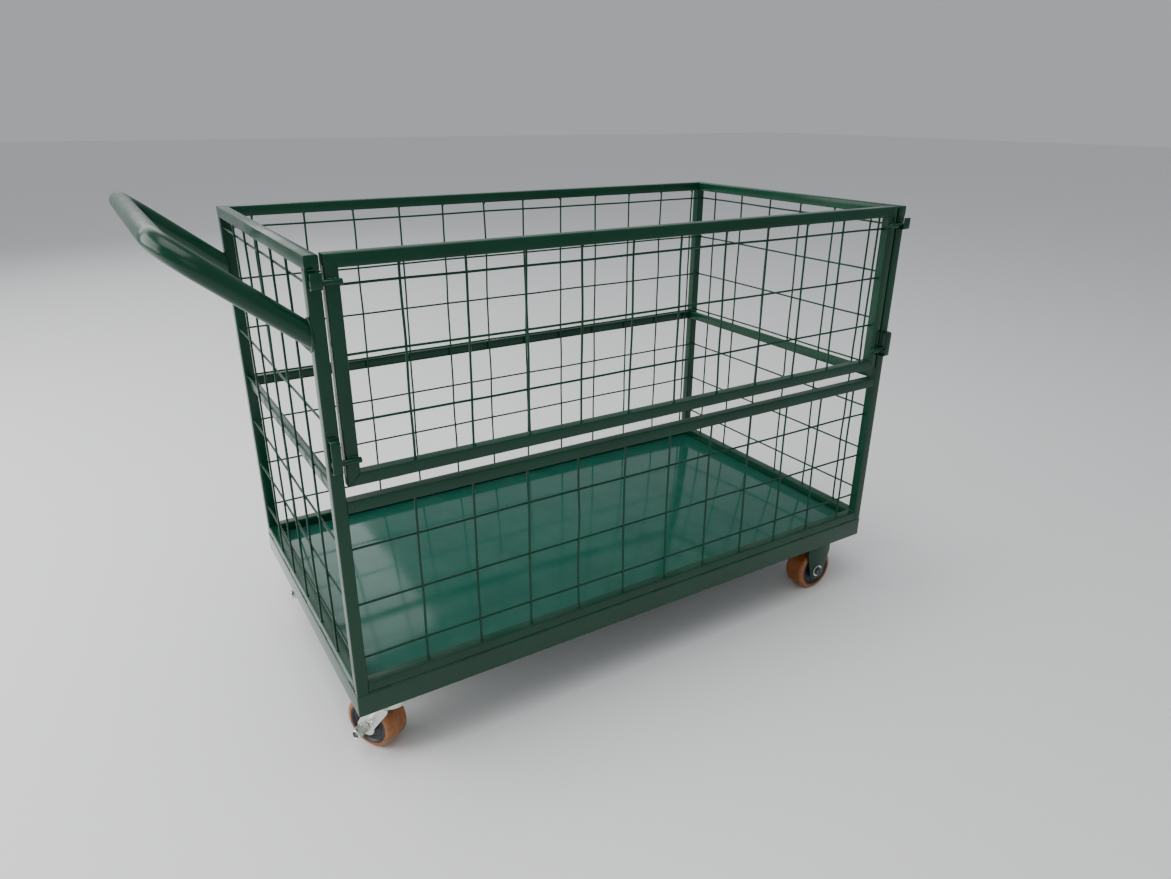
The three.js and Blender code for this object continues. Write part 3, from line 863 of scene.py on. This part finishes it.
def stitch_seam(rail_low, rail_high, along, fixed, longest, shortest_gap):
    """A row of stitches along one rail, at a fixed place on the other axis."""
    place = rail_low[along] - STITCH_PAST_RAIL
    while place < rail_high[along]:
        length = STITCH * shuffle.uniform(0.55, longest)
        start = Vector((fixed, fixed, seam))
        end = start.copy()
        start[along] = place
        end[along] = min(place + length, rail_high[along] + STITCH_PAST_RAIL)
        stitches.append(bead(start, end, STITCH_RADIUS))
        place += STITCH_PITCH * shuffle.uniform(shortest_gap, 1.1)


front_low, front_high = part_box("bottom_rail_front")
stitch_seam(front_low, front_high, 0, front_low.y, 1.3, 0.75)
stitch_seam(front_low, front_high, 0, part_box("bottom_rail_back")[1].y, 1.3, 0.75)
for side in sides:
    rail_low, rail_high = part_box(f"bottom_rail_{side}")
    outer_x = rail_low.x if side == "left" else rail_high.x
    stitch_seam(rail_low, rail_high, 1, outer_x, 1.2, 0.8)
print("stitches along the deck:", len(stitches))
welded(stitches, "deck_stitch_welds", "root")

# %% [markdown]
# ## Frame corner welds
# Each rail meets its posts in a butt joint. The joint is welded on the faces and ground
# flush outside, so what shows is a thin raised line with a rough edge. The top end rails
# lie on the posts, with a seam and a short bead on the outer faces.

# %% Frame corner welds
JOINT_RADIUS = 0.0014
JOINT_INSET = 0.003
joint_beads = []
for rail in [f"{kind}_{face}" for face in faces for kind in ("mid_rail", "bottom_rail")]:
    low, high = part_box(rail)
    for x in (low.x, high.x):
        for z in (low.z, high.z):
            start, end = (x, low.y + JOINT_INSET, z), (x, high.y - JOINT_INSET, z)
            joint_beads.append(bead(start, end, JOINT_RADIUS))
low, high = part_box("top_rail_back")
for x in (low.x, high.x):
    joint_beads.append(bead((x, low.y, low.z), (x, high.y, low.z), JOINT_RADIUS))
for side in sides:
    low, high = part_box(f"mid_rail_{side}")
    for y in (low.y, high.y):
        joint_beads.append(bead((low.x, y, low.z), (high.x, y, low.z), JOINT_RADIUS))
    for face in faces:
        low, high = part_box(f"post_{side}_{face}")
        for y in (low.y, high.y):
            start, end = (low.x + JOINT_INSET, y, high.z), (high.x - JOINT_INSET, y, high.z)
            joint_beads.append(bead(start, end, 0.0012))
print("beads at the frame's joints:", len(joint_beads))
welded(joint_beads, "frame_corner_welds", "root")

# %% Gate corner welds
gate_beads = []
low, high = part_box("gate_bottom_bar")
gate_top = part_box("gate_top_bar")[1].z
bar = high.z - low.z
for outer_x, way in ((low.x, 1), (high.x, -1)):
    for outer_z, rise in ((low.z, 1), (gate_top, -1)):
        ends = [
            (outer_x + way * reach, low.y, outer_z + rise * reach)
            for reach in (0.002, bar - 0.001)
        ]
        gate_beads.append(bead(*ends, 0.0009, 0.0009))
welded(gate_beads, "gate_corner_welds", "gate")
print("gate corners welded")

# %% [markdown]
# ## Pins, hooks and straps
# The gate hangs on four short round bars, welded across its side bars. A pin is a
# cylinder with its rims chamfered, as a cut bar is filed. The upper pins rest in hooks,
# the lower ones turn and slide in straps: both are flat strip, bent in a brake. The strip
# is drawn as a row of planes, its folds are rounded by a bevel, and Solidify gives it
# its thickness on both sides of the drawing.

# %% Gate pins
for level in ("upper", "lower"):
    for side in sides:
        name = f"gate_{level}_pin_{side}"
        low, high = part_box(name)
        deselect()
        bpy.ops.mesh.primitive_cylinder_add(
            vertices=28, radius=(high.z - low.z) / 2, depth=high.x - low.x,
            location=(low + high) / 2, rotation=(0.0, math.pi / 2, 0.0),
        )
        pin = bpy.context.object
        apply_transform(pin)
        modify(pin, "BEVEL", width=0.0009, segments=2, limit_method="ANGLE")
        smooth(pin)
        body = "gate" if level == "upper" else "gate_pins"
        finish_piece(pin, f"{name}_bar", tube_paint, body, [name])
print("four pins turned")

# %% Pin welds
pin_beads = []
for level in ("upper", "lower"):
    for side in sides:
        low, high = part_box(f"gate_{level}_pin_{side}")
        bar_low, bar_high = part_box(f"gate_{side}_bar")
        for z in (low.z + 0.0006, high.z - 0.0006):
            y = bar_low.y - 0.0006
            start, end = (bar_low.x + 0.002, y, z), (bar_high.x - 0.001, y, z)
            pin_beads.append(bead(start, end, 0.0021, 0.0022))
print("pins welded with", len(pin_beads), "beads")
welded(pin_beads, "gate_pin_welds", "gate")

# %% Bent strip maker
STRIP_SHEET = 0.003
STRIP_FOLD = 0.0028


def bent_strip(path, width, fold):
    """A strip that follows a path of points in its YZ plane, rounded at its folds."""
    deselect()
    bpy.ops.mesh.primitive_plane_add(size=1.0)
    strip = bpy.context.object
    edit(strip)
    mesh = bmesh.from_edit_mesh(strip.data)
    for corner in mesh.verts:
        side = width / 2 if corner.co.x > 0 else -width / 2
        corner.co = path[0 if corner.co.y < 0 else 1] + Vector((side, 0.0, 0.0))
    for corner in mesh.verts:
        corner.select_set((corner.co - path[1]).length < width / 2 + 1e-6)
    mesh.select_flush(True)
    bmesh.update_edit_mesh(strip.data)
    for start, end in zip(path[1:], path[2:]):
        bpy.ops.mesh.extrude_region_move(TRANSFORM_OT_translate={"value": end - start})
    bpy.ops.mesh.select_mode(type="EDGE")
    bpy.ops.mesh.select_all(action="DESELECT")
    inner = path[1:-1]
    pick_edges(
        strip,
        lambda a, b: abs(a.x - b.x) > width / 2
        and any(((a + b) / 2 - fold_line).length < 1e-5 for fold_line in inner),
    )
    bpy.ops.mesh.bevel(offset=fold, segments=4, affect="EDGES")
    bpy.ops.object.mode_set(mode="OBJECT")
    thicken(strip, STRIP_SHEET, 0.0)
    outward(strip)
    soften(strip, 0.0004)
    return strip


# %% Hooks and straps
half_sheet = STRIP_SHEET / 2
for side in sides:
    for kind in ("hook", "strap"):
        node = f"gate_{kind}_{side}"
        low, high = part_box(node)
        front_y = low.y + half_sheet
        corners = [(high.y, low.z + half_sheet), (front_y, low.z + half_sheet)]
        if kind == "hook":
            corners += [(front_y, high.z)]
        else:
            corners += [(front_y, high.z - half_sheet), (high.y, high.z - half_sheet)]
        path = [Vector(((low.x + high.x) / 2, y, z)) for y, z in corners]
        strip = bent_strip(path, high.x - low.x, STRIP_FOLD)
        smooth(strip)
        finish_piece(strip, f"{node}_strip", tube_paint, "root", [node])
print("two hooks and two straps bent")

# %% Hook and strap welds
tab_beads = []
for side in sides:
    post_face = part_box(f"post_{side}_front")[0].y
    for kind in ("hook", "strap"):
        low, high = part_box(f"gate_{kind}_{side}")
        levels = [low.z, low.z + STRIP_SHEET]
        if kind == "strap":
            levels += [high.z - STRIP_SHEET, high.z]
        for z in levels:
            start, end = (low.x, post_face, z), (high.x, post_face, z)
            tab_beads.append(bead(start, end, 0.0012, 0.0012))
print("tabs welded with", len(tab_beads), "beads")
welded(tab_beads, "post_tab_welds", "root")

# %% [markdown]
# ## The handle
# One length of round tube, bent twice in the tube bender. A circle is the tube's section:
# it is extruded up the near arm, spun a quarter turn about the centre of the bend, run
# along as the cross bar, spun again and run back down. Both ends are then cut flush with
# the end frame, where the tube is welded on.

# %% Handle
HANDLE_RADIUS = 0.016
HANDLE_REACH = 0.165
HANDLE_LIFT = 0.133
HANDLE_BEND = 0.062
HANDLE_START = 0.03

low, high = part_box("handle")
post_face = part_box("post_left_front")[0].x
bar_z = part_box("top_rail_left")[1].z - 0.109 + HANDLE_LIFT
slope = Vector((-HANDLE_REACH, 0.0, HANDLE_LIFT)).normalized()
arm = math.hypot(HANDLE_REACH, HANDLE_LIFT)
near_y = low.y + HANDLE_RADIUS
far_y = high.y - HANDLE_RADIUS
foot = Vector((post_face, near_y, bar_z - HANDLE_LIFT))
across = Vector((0.0, 1.0, 0.0))
bend_axis = across.cross(slope)

deselect()
bpy.ops.mesh.primitive_circle_add(
    vertices=32, radius=HANDLE_RADIUS, location=foot - slope * HANDLE_START,
    rotation=slope.to_track_quat("Z", "Y").to_euler(),
)
handle = bpy.context.object
apply_transform(handle)
edit(handle)
bpy.ops.mesh.select_all(action="SELECT")
straight = slope * (HANDLE_START + arm - HANDLE_BEND)
bpy.ops.mesh.extrude_region_move(TRANSFORM_OT_translate={"value": straight})
bend_start = foot + slope * (arm - HANDLE_BEND)
for centre_y, run in ((near_y + HANDLE_BEND, across * (far_y - near_y - 2 * HANDLE_BEND)),
                      (far_y - HANDLE_BEND, -straight)):
    centre = Vector((bend_start.x, centre_y, bend_start.z))
    bpy.ops.mesh.spin(steps=14, angle=math.pi / 2, center=centre, axis=bend_axis)
    bpy.ops.mesh.extrude_region_move(TRANSFORM_OT_translate={"value": run})
bpy.ops.object.mode_set(mode="OBJECT")
outward(handle)
cut_off(handle, Vector((post_face, 0.0, 0.0)), Vector((1.0, 0.0, 0.0)))
smooth(handle)
finish_piece(handle, "handle_tube", tube_paint, "root", ["handle"])
print("handle box:", [round(v, 4) for v in (*low, *high)])

# %% Handle welds
WELD_RING = 0.0024
rings = []
for y, name, inner_way in ((near_y, "post_left_front", 1), (far_y, "post_left_back", -1)):
    deselect()
    bpy.ops.mesh.primitive_torus_add(
        major_radius=HANDLE_RADIUS + 0.0008, minor_radius=WELD_RING, major_segments=72,
        minor_segments=10, location=(0.0, 0.0, 0.0), rotation=(0.0, math.pi / 2, 0.0),
    )
    ring = bpy.context.object
    apply_transform(ring)
    ring.scale.z = arm / HANDLE_REACH
    ring.location = (post_face, y, foot.z)
    apply_transform(ring)
    modify(ring, "DISPLACE", texture=ripples, strength=0.0018)
    post_low, post_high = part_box(name)
    edge_y = post_high.y if inner_way > 0 else post_low.y
    cut_off(ring, Vector((0.0, edge_y - inner_way * 0.001, 0.0)), Vector((0.0, inner_way, 0.0)))
    rings.append(ring)
welded(rings, "handle_joint_welds", "root")
print("handle welded to both posts")

# %% [markdown]
# ## Turned parts
# Wheels, bolts and ball races are round about an axis, so each is a profile spun round
# it. A plane is merged to one point, the point is extruded along the profile, and Spin
# turns the line into a solid. Doubled points are merged and the faces turned outwards.

# %% Lathe
WHEEL_LOW, WHEEL_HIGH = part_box("fixed_caster_front_tread")
WHEEL_RADIUS = (WHEEL_HIGH.z - WHEEL_LOW.z) / 2
TREAD_HALF = (WHEEL_HIGH.y - WHEEL_LOW.y) / 2
AXLE = Vector((0.0, 0.0, WHEEL_RADIUS))


def lathe(profile, centre, axis, steps, ring=False):
    """A solid turned from (radius, side) points about the Y or Z axis through a point.

    A ring has a hole along the axis, so its profile closes on itself.
    """
    profile = profile + profile[:1] if ring else profile
    side_way = Vector((0.0, 1.0, 0.0)) if axis == "Y" else Vector((0.0, 0.0, 1.0))
    path = [centre + Vector((radius, 0.0, 0.0)) + side_way * side for radius, side in profile]
    deselect()
    bpy.ops.mesh.primitive_plane_add(size=0.01, location=path[0])
    turned = bpy.context.object
    apply_transform(turned)
    edit(turned)
    bpy.ops.mesh.select_all(action="SELECT")
    bpy.ops.mesh.merge(type="CENTER")
    for start, end in zip(path, path[1:]):
        bpy.ops.mesh.extrude_vertices_move(TRANSFORM_OT_translate={"value": end - start})
    bpy.ops.mesh.select_all(action="SELECT")
    bpy.ops.mesh.spin(steps=steps, angle=2 * math.pi, center=centre, axis=side_way)
    bpy.ops.object.mode_set(mode="OBJECT")
    outward(turned)
    return turned


def mirrored(half):
    """The whole profile of a wheel part, from the half on one side of its middle."""
    return half + [(radius, -side) for radius, side in reversed(half)]


# %% [markdown]
# ## Wheels
# The tread is a cast ring with well rounded shoulders. The hub is a nylon moulding with
# raised rings on its web, which stiffen it and catch the light.

# %% Tread
TREAD_INNER = 0.0395
TREAD_SHOULDER = 0.0085
tread_half = [(TREAD_INNER, TREAD_HALF), (WHEEL_RADIUS, TREAD_HALF)]
tread = lathe(mirrored(tread_half), AXLE, "Y", 72, ring=True)


def on_rim(point):
    """True on the outer corners of the tread."""
    radius = math.hypot(point.x - AXLE.x, point.z - AXLE.z)
    return abs(radius - WHEEL_RADIUS) < 1e-4 and abs(abs(point.y) - TREAD_HALF) < 1e-4


round_edges(
    tread, lambda a, b: on_rim(a) and on_rim(b) and abs(a.y - b.y) < 1e-5, TREAD_SHOULDER, 6
)
smooth(tread)
print("tread:", len(tread.data.polygons), "faces")

# %% Hub
HUB_RIM = TREAD_INNER - 0.0003
HUB_HALF = TREAD_HALF + 0.001
WEB = 0.021
hub_half = [
    (0.0063, HUB_HALF), (0.0125, HUB_HALF), (0.0140, HUB_HALF - 0.0012), (0.0158, WEB + 0.0008),
    (0.0166, WEB), (0.0216, WEB), (0.0219, WEB + 0.0009), (0.0227, WEB + 0.0009),
    (0.0230, WEB), (0.0266, WEB), (0.0269, WEB + 0.0009), (0.0277, WEB + 0.0009),
    (0.0280, WEB), (0.0338, WEB), (0.0346, WEB + 0.0006), (0.0358, TREAD_HALF - 0.0008),
    (0.0365, TREAD_HALF), (HUB_RIM - 0.0006, TREAD_HALF), (HUB_RIM, TREAD_HALF - 0.0006),
]
hub = lathe(mirrored(hub_half), AXLE, "Y", 64, ring=True)
smooth(hub)
print("hub:", len(hub.data.polygons), "faces")

# %% [markdown]
# ## Axle bolt and nuts
# The axle is a flanged hex bolt with two nuts; the outer one is a locking nut, whose
# round collar grips the end of the thread, a zigzag in the turned profile. A
# hexagon head or nut is a six-sided prism; its bright round chamfer comes from keeping
# only what it shares with a bevelled disc, as a real nut is turned after it is pressed.

# %% Bolt and nuts
CORNER_RADIUS = 0.0106
BOLT_RADIUS = 0.006
THREAD_PITCH = 0.0015
bolt_low, bolt_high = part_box("fixed_caster_front_axle_bolt")
nuts_low, nuts_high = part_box("fixed_caster_front_axle_nuts")
middle_y = (WHEEL_LOW.y + WHEEL_HIGH.y) / 2
BOLT_END = bolt_high.y - middle_y
HEAD_END = middle_y - bolt_low.y
NUT_START = nuts_low.y - middle_y
NUT_END = nuts_high.y - middle_y
FLANGE = 0.002
FLANGE_RADIUS = 0.014
BORE_RADIUS = 0.0062
COLLAR_RADIUS = 0.0094
# the bolt's dark colour is painted shade, for the shadow on its head and in its recessed end; the
# mottle in it is random
shaded_zinc_bolt, tree, shader = new_material("shade_darkened_bolt", Metallic=1.0, Roughness=0.42)
where = object_place(tree)
shade_mottle = ramp(tree, noise(tree, where, 160.0, 4.0), 0.35, 0.7)
mottled_shade = mix_colour(tree, shade_mottle, (0.055, 0.055, 0.065), (0.16, 0.16, 0.18))
tree.links.new(mottled_shade, shader.inputs["Base Color"])


def hexagon(start, end, turn):
    """A chamfered hexagon about the axle, between two places along it."""
    half = (end - start) / 2
    centre = AXLE + Vector((0.0, (start + end) / 2, 0.0))
    tool = lathe(
        [(0.0, half), (0.0089, half), (0.0110, half - 0.0012), (0.0110, 0.0012 - half),
         (0.0089, -half), (0.0, -half)],
        centre, "Y", 48,
    )
    deselect()
    bpy.ops.mesh.primitive_cylinder_add(
        vertices=6, radius=CORNER_RADIUS, depth=2 * half, location=centre,
        rotation=(math.pi / 2, turn, 0.0),
    )
    prism = bpy.context.object
    apply_transform(prism)
    modify(prism, "BOOLEAN", operation="INTERSECT", object=tool, solver="EXACT")
    bpy.data.objects.remove(tool)
    return prism


thread = [(0.0, 0.0), (BOLT_RADIUS, 0.0)]
place = NUT_START
while place < BOLT_END - 0.004:
    thread += [(BOLT_RADIUS, place), (BOLT_RADIUS - 0.0008, place + THREAD_PITCH / 2)]
    place += THREAD_PITCH
thread += [(BOLT_RADIUS - 0.0009, BOLT_END - 0.0014), (0.0, BOLT_END - 0.0014)]
shank = lathe(thread, AXLE, "Y", 28)
stub_profile = [(0.0, -NUT_START), (BOLT_RADIUS, -NUT_START), (BOLT_RADIUS, 0.0), (0.0, 0.0)]
stub = lathe(stub_profile, AXLE, "Y", 28)
bolt = join([shank, stub, hexagon(-HEAD_END, -NUT_START - FLANGE, 0.0)], "bolt")
smooth(bolt, 30.0)
flange_profile = [
    (0.0, 0.0), (FLANGE_RADIUS - 0.0003, 0.0), (FLANGE_RADIUS, 0.0004),
    (FLANGE_RADIUS, FLANGE - 0.0006), (FLANGE_RADIUS - 0.0010, FLANGE), (0.0, FLANGE),
]
flange = lathe([(radius, -NUT_START - out) for radius, out in flange_profile], AXLE, "Y", 40)
smooth(flange, 30.0)
nut_seam = (NUT_START + NUT_END) / 2
collar_profile = [
    (BORE_RADIUS, NUT_END - 0.0015), (COLLAR_RADIUS, NUT_END - 0.0015),
    (COLLAR_RADIUS, BOLT_END - 0.0020), (COLLAR_RADIUS - 0.0012, BOLT_END - 0.0004),
    (BORE_RADIUS + 0.0010, BOLT_END - 0.0002), (BORE_RADIUS, BOLT_END - 0.0012),
]
collar = lathe(collar_profile, AXLE, "Y", 36, ring=True)
nuts = join([hexagon(NUT_START, nut_seam, 0.2), hexagon(nut_seam, NUT_END, 0.7), collar], "nuts")
smooth(nuts, 25.0)
print("bolt and nuts:", len(bolt.data.polygons) + len(nuts.data.polygons), "faces")

# %% [markdown]
# ## Forks
# A fork is one pressed sheet: a flat crown with two legs folded down. It is drawn as a
# sheet in the middle of the metal: the crown is a plane, its side edges are extruded down
# in three steps, the lower corners are moved to the axle, the lowest are rounded, and so
# are the folds, before the sheet gets its thickness.

# %% Fork sheet
FORK_SHEET = 0.0035
FORK_GAP = 0.054
FORK_KNEE = 2 * WHEEL_RADIUS - 0.003


def select_below(obj, height):
    """Selects the vertices that lie below a height."""
    bpy.ops.mesh.select_mode(type="VERT")
    bpy.ops.mesh.select_all(action="DESELECT")
    mesh = bmesh.from_edit_mesh(obj.data)
    for corner in mesh.verts:
        corner.select_set(corner.co.z < height)
    mesh.select_flush(True)
    bmesh.update_edit_mesh(obj.data)


def extrude_legs(drop):
    """Pulls the selected free edges of both legs straight down."""
    bpy.ops.mesh.extrude_edges_move(TRANSFORM_OT_translate={"value": (0.0, 0.0, -drop)})


def fork_sheet(back, front, crown, axle_x, foot, fold):
    """A pressed fork whose legs run from back to front at the crown, and end rounded."""
    side = (FORK_GAP + FORK_SHEET) / 2
    deselect()
    bpy.ops.mesh.primitive_plane_add(size=1.0, location=((back + front) / 2, 0.0, crown))
    fork = bpy.context.object
    fork.scale = (front - back, 2 * side, 1.0)
    apply_transform(fork)
    edit(fork, "EDGE")
    pick_edges(fork, lambda a, b: abs(a.y - b.y) < 1e-5)
    extrude_legs(crown - FORK_KNEE)
    extrude_legs(FORK_KNEE - WHEEL_RADIUS)
    extrude_legs(foot)
    mesh = bmesh.from_edit_mesh(fork.data)
    for corner in mesh.verts:
        if corner.co.z < FORK_KNEE - 0.01:
            way = 1 if corner.co.x > (back + front) / 2 else -1
            corner.co.x = axle_x + way * foot
    bmesh.update_edit_mesh(fork.data)
    select_below(fork, WHEEL_RADIUS - foot / 2)
    bpy.ops.mesh.bevel(offset=0.97 * foot, segments=10, affect="VERTICES")
    bpy.ops.mesh.select_mode(type="EDGE")
    bpy.ops.mesh.select_all(action="DESELECT")
    pick_edges(fork, lambda a, b: min(a.z, b.z) > crown - 1e-5 and abs(a.y - b.y) < 1e-5)
    bpy.ops.mesh.bevel(offset=fold, segments=5, affect="EDGES")
    bpy.ops.object.mode_set(mode="OBJECT")
    thicken(fork, FORK_SHEET, 0.0)
    outward(fork)
    soften(fork, 0.0005)
    return fork


def pressed_stud(x, z, side):
    """A shallow round stud pressed in the outside of a fork leg."""
    face = side * (FORK_GAP / 2 + FORK_SHEET)
    profile = [
        (0.0, 0.0002), (0.0034, 0.0002), (0.0043, 0.0009), (0.0058, 0.0009), (0.0066, 0.0),
        (0.0066, -0.001), (0.0, -0.001),
    ]
    profile = [(radius, side * out) for radius, out in profile]
    return lathe(profile, Vector((x, face, z)), "Y", 32)


plate_low, plate_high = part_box("swivel_caster_front_plate")
swivel_place = Vector(joints["swivel_turn_front"]["pos_m"])
wheel_low, wheel_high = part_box("swivel_caster_front_tread")
wheel_middle = (wheel_low + wheel_high) / 2
trail = (wheel_middle - swivel_place).xy.length
fork_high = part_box("swivel_caster_front_fork")[1]
CROWN_TOP = 2 * WHEEL_RADIUS + 0.007
CROWN_LOW = CROWN_TOP - 0.004
crown = CROWN_TOP - FORK_SHEET / 2
print("trail:", round(trail, 4), "m, fork top at", round(fork_high.z, 4), "m")

# %% Swivel fork with its ball cup
CUP_RADIUS = 0.030
FORK_FOOT = 0.019
KINGPIN_BORE = 0.0083
LEG_BACK = -0.015
LEG_FRONT = 0.029
STUD_BACK = 0.0165
STUD_RISE = 0.010
swivel_fork = fork_sheet(LEG_BACK, LEG_FRONT, crown, trail, FORK_FOOT, 0.005)
cup_top = fork_high.z
cup_profile = [
    (KINGPIN_BORE, CROWN_LOW), (CUP_RADIUS - 0.0010, CROWN_LOW), (CUP_RADIUS, CROWN_LOW + 0.0010),
    (CUP_RADIUS, CROWN_TOP - 0.0004), (CUP_RADIUS - 0.0012, CROWN_TOP),
    (CUP_RADIUS, CROWN_TOP + 0.0012), (CUP_RADIUS, CROWN_TOP + 0.0060),
    (CUP_RADIUS - 0.0014, CROWN_TOP + 0.0070), (CUP_RADIUS - 0.0014, CROWN_TOP + 0.0082),
    (CUP_RADIUS, CROWN_TOP + 0.0092), (CUP_RADIUS, cup_top - 0.0022),
    (CUP_RADIUS - 0.0020, cup_top), (KINGPIN_BORE, cup_top),
]
cup = lathe(cup_profile, Vector(), "Z", 64, ring=True)
stud_x, stud_z = trail - STUD_BACK, WHEEL_RADIUS + STUD_RISE
studs = [pressed_stud(stud_x, stud_z, side) for side in (-1, 1)]
swivel_fork = join([swivel_fork, cup, *studs], "swivel_fork")
smooth(swivel_fork)
print("swivel fork:", len(swivel_fork.data.polygons), "faces")

# %% [markdown]
# ## Top plates
# Each caster has a plate with four slots. The slots are cut with one Boolean from four
# rounded cutters. The swivel caster's plate carries the upper race and the kingpin, and
# the fixed caster's plate carries its fork's legs.

# %% Top plates
PLATE_SHEET = 0.005
PLATE_CORNER = 0.006
SLOT_INSET = (0.0112, 0.009, 0.0)
SLOT_REACH = Vector((0.0085, 0.0045, 0.02))
BRACKET_HALF = 0.0345
BRACKET_FOOT = 0.023
plate_size = plate_high - plate_low
plate_top = plate_high.z


def top_plate():
    """The slotted plate, middle at the origin in plan."""
    half = Vector((plate_size.x / 2, plate_size.y / 2, 0.0))
    top = Vector((0.0, 0.0, plate_top))
    slot = half - Vector(SLOT_INSET)
    plate = box_piece(top - half - Vector((0.0, 0.0, PLATE_SHEET)), top + half)
    round_edges(plate, lambda a, b: abs(a.z - b.z) > PLATE_SHEET / 2, PLATE_CORNER, 5)
    cutters = []
    for x in (-1, 1):
        for y in (-1, 1):
            middle = Vector((x * slot.x, y * slot.y, plate_top))
            cutter = box_piece(middle - SLOT_REACH, middle + SLOT_REACH)
            round_edges(cutter, lambda a, b: abs(a.z - b.z) > 0.02, SLOT_REACH.y - 0.0001, 6)
            cutters.append(cutter)
    tool = join(cutters, "slot_tool")
    modify(plate, "BOOLEAN", operation="DIFFERENCE", object=tool, solver="EXACT")
    bpy.data.objects.remove(tool)
    soften(plate, 0.0006)
    return plate


race_bottom = fork_high.z + 0.0003
plate_bottom = plate_top - PLATE_SHEET
kingpin_profile = [
    (0.0, plate_low.z), (0.0100, plate_low.z), (0.0120, plate_low.z + 0.0010),
    (0.0120, plate_low.z + 0.0040), (0.0080, plate_low.z + 0.0040), (0.0080, race_bottom),
    (0.0245, race_bottom), (0.0260, race_bottom + 0.0012), (0.0260, plate_bottom + 0.0005),
    (0.0, plate_bottom + 0.0005),
]
kingpin = lathe(kingpin_profile, Vector(), "Z", 48)
swivel_plate = join([top_plate(), kingpin], "swivel_plate")
smooth(swivel_plate)
bracket_crown = plate_bottom - FORK_SHEET / 2 + 0.0004
bracket_legs = fork_sheet(-BRACKET_HALF, BRACKET_HALF, bracket_crown, 0.0, BRACKET_FOOT, 0.004)
fixed_bracket = join([top_plate(), bracket_legs], "fixed_bracket")
smooth(fixed_bracket)
print("plates and bracket ready")

# %% [markdown]
# ## Placing the casters
# Every part was modelled once, round the origin. Each caster gets copies with their own
# meshes, turned about the vertical and moved to the place that its joint gives. The turn
# and the move are applied, so that every finished object sits at the origin.

# %% Placing helpers
WHEEL_PARTS = (
    ("tread", tread, "ring", tread_material, "orange_tread"),
    ("hub", hub, "moulding", hub_material, "black_hub"),
)
AXLE_PARTS = (("bolt", bolt, shaded_zinc_bolt), ("nuts", nuts, zinc), ("flange", flange, zinc))


def placed(model, name, spot, turn, material, body, nodes_replaced):
    """A copy of a model, turned and moved, with its place in its mesh."""
    piece = copy_of(model, name)
    piece.rotation_euler.z = turn
    piece.location = (spot.x, spot.y, 0.0)
    apply_transform(piece)
    finish_piece(piece, name, material, body, nodes_replaced)


def place_wheel(caster, turn, body, wheel_body):
    """Puts a wheel and its axle where the frame has them, the nuts on their own side."""
    wheel_low, wheel_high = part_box(f"{caster}_tread")
    nuts_low, nuts_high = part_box(f"{caster}_axle_nuts")
    middle = (wheel_low + wheel_high) / 2
    for part, model, kind, material, slot in WHEEL_PARTS:
        node = f"{caster}_{part}"
        placed(model, f"{node}_{kind}", middle, turn, material, wheel_body, [node])
    nut_way = ((nuts_low + nuts_high) / 2 - middle).xy
    if nut_way.dot(Vector((-math.sin(turn), math.cos(turn)))) < 0:
        turn += math.pi
    for part, model, material in AXLE_PARTS:
        node = f"{caster}_axle_{part}"
        replaced = [] if part == "flange" else [node]
        placed(model, f"{node}_turned", middle, turn, material, body, replaced)


# %% Casters in place
for face in faces:
    caster = f"swivel_caster_{face}"
    body = f"swivel_{face}"
    centre = Vector(joints[f"swivel_turn_{face}"]["pos_m"])
    wheel_low, wheel_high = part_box(f"{caster}_tread")
    away = ((wheel_low + wheel_high) / 2 - centre).xy
    turn = math.atan2(away.y, away.x)
    fork, plate = f"{caster}_fork", f"{caster}_plate"
    placed(swivel_fork, f"{fork}_sheet", centre, turn, zinc, body, [fork])
    placed(swivel_plate, f"{plate}_race", centre, 0.0, zinc, "root", [plate])
    place_wheel(caster, turn, body, f"swivel_wheel_{face}")

    caster = f"fixed_caster_{face}"
    centre = Vector(joints[f"fixed_wheel_spin_{face}"]["pos_m"])
    bracket = f"{caster}_bracket"
    name, slot = f"{bracket}_sheet", "green_paint"
    placed(fixed_bracket, name, centre, 0.0, tube_paint, "root", [bracket])
    place_wheel(caster, 0.0, "root", f"fixed_wheel_{face}")
for model in (tread, hub, bolt, nuts, flange, swivel_fork, swivel_plate, fixed_bracket):
    bpy.data.objects.remove(model)
print("four casters in place")
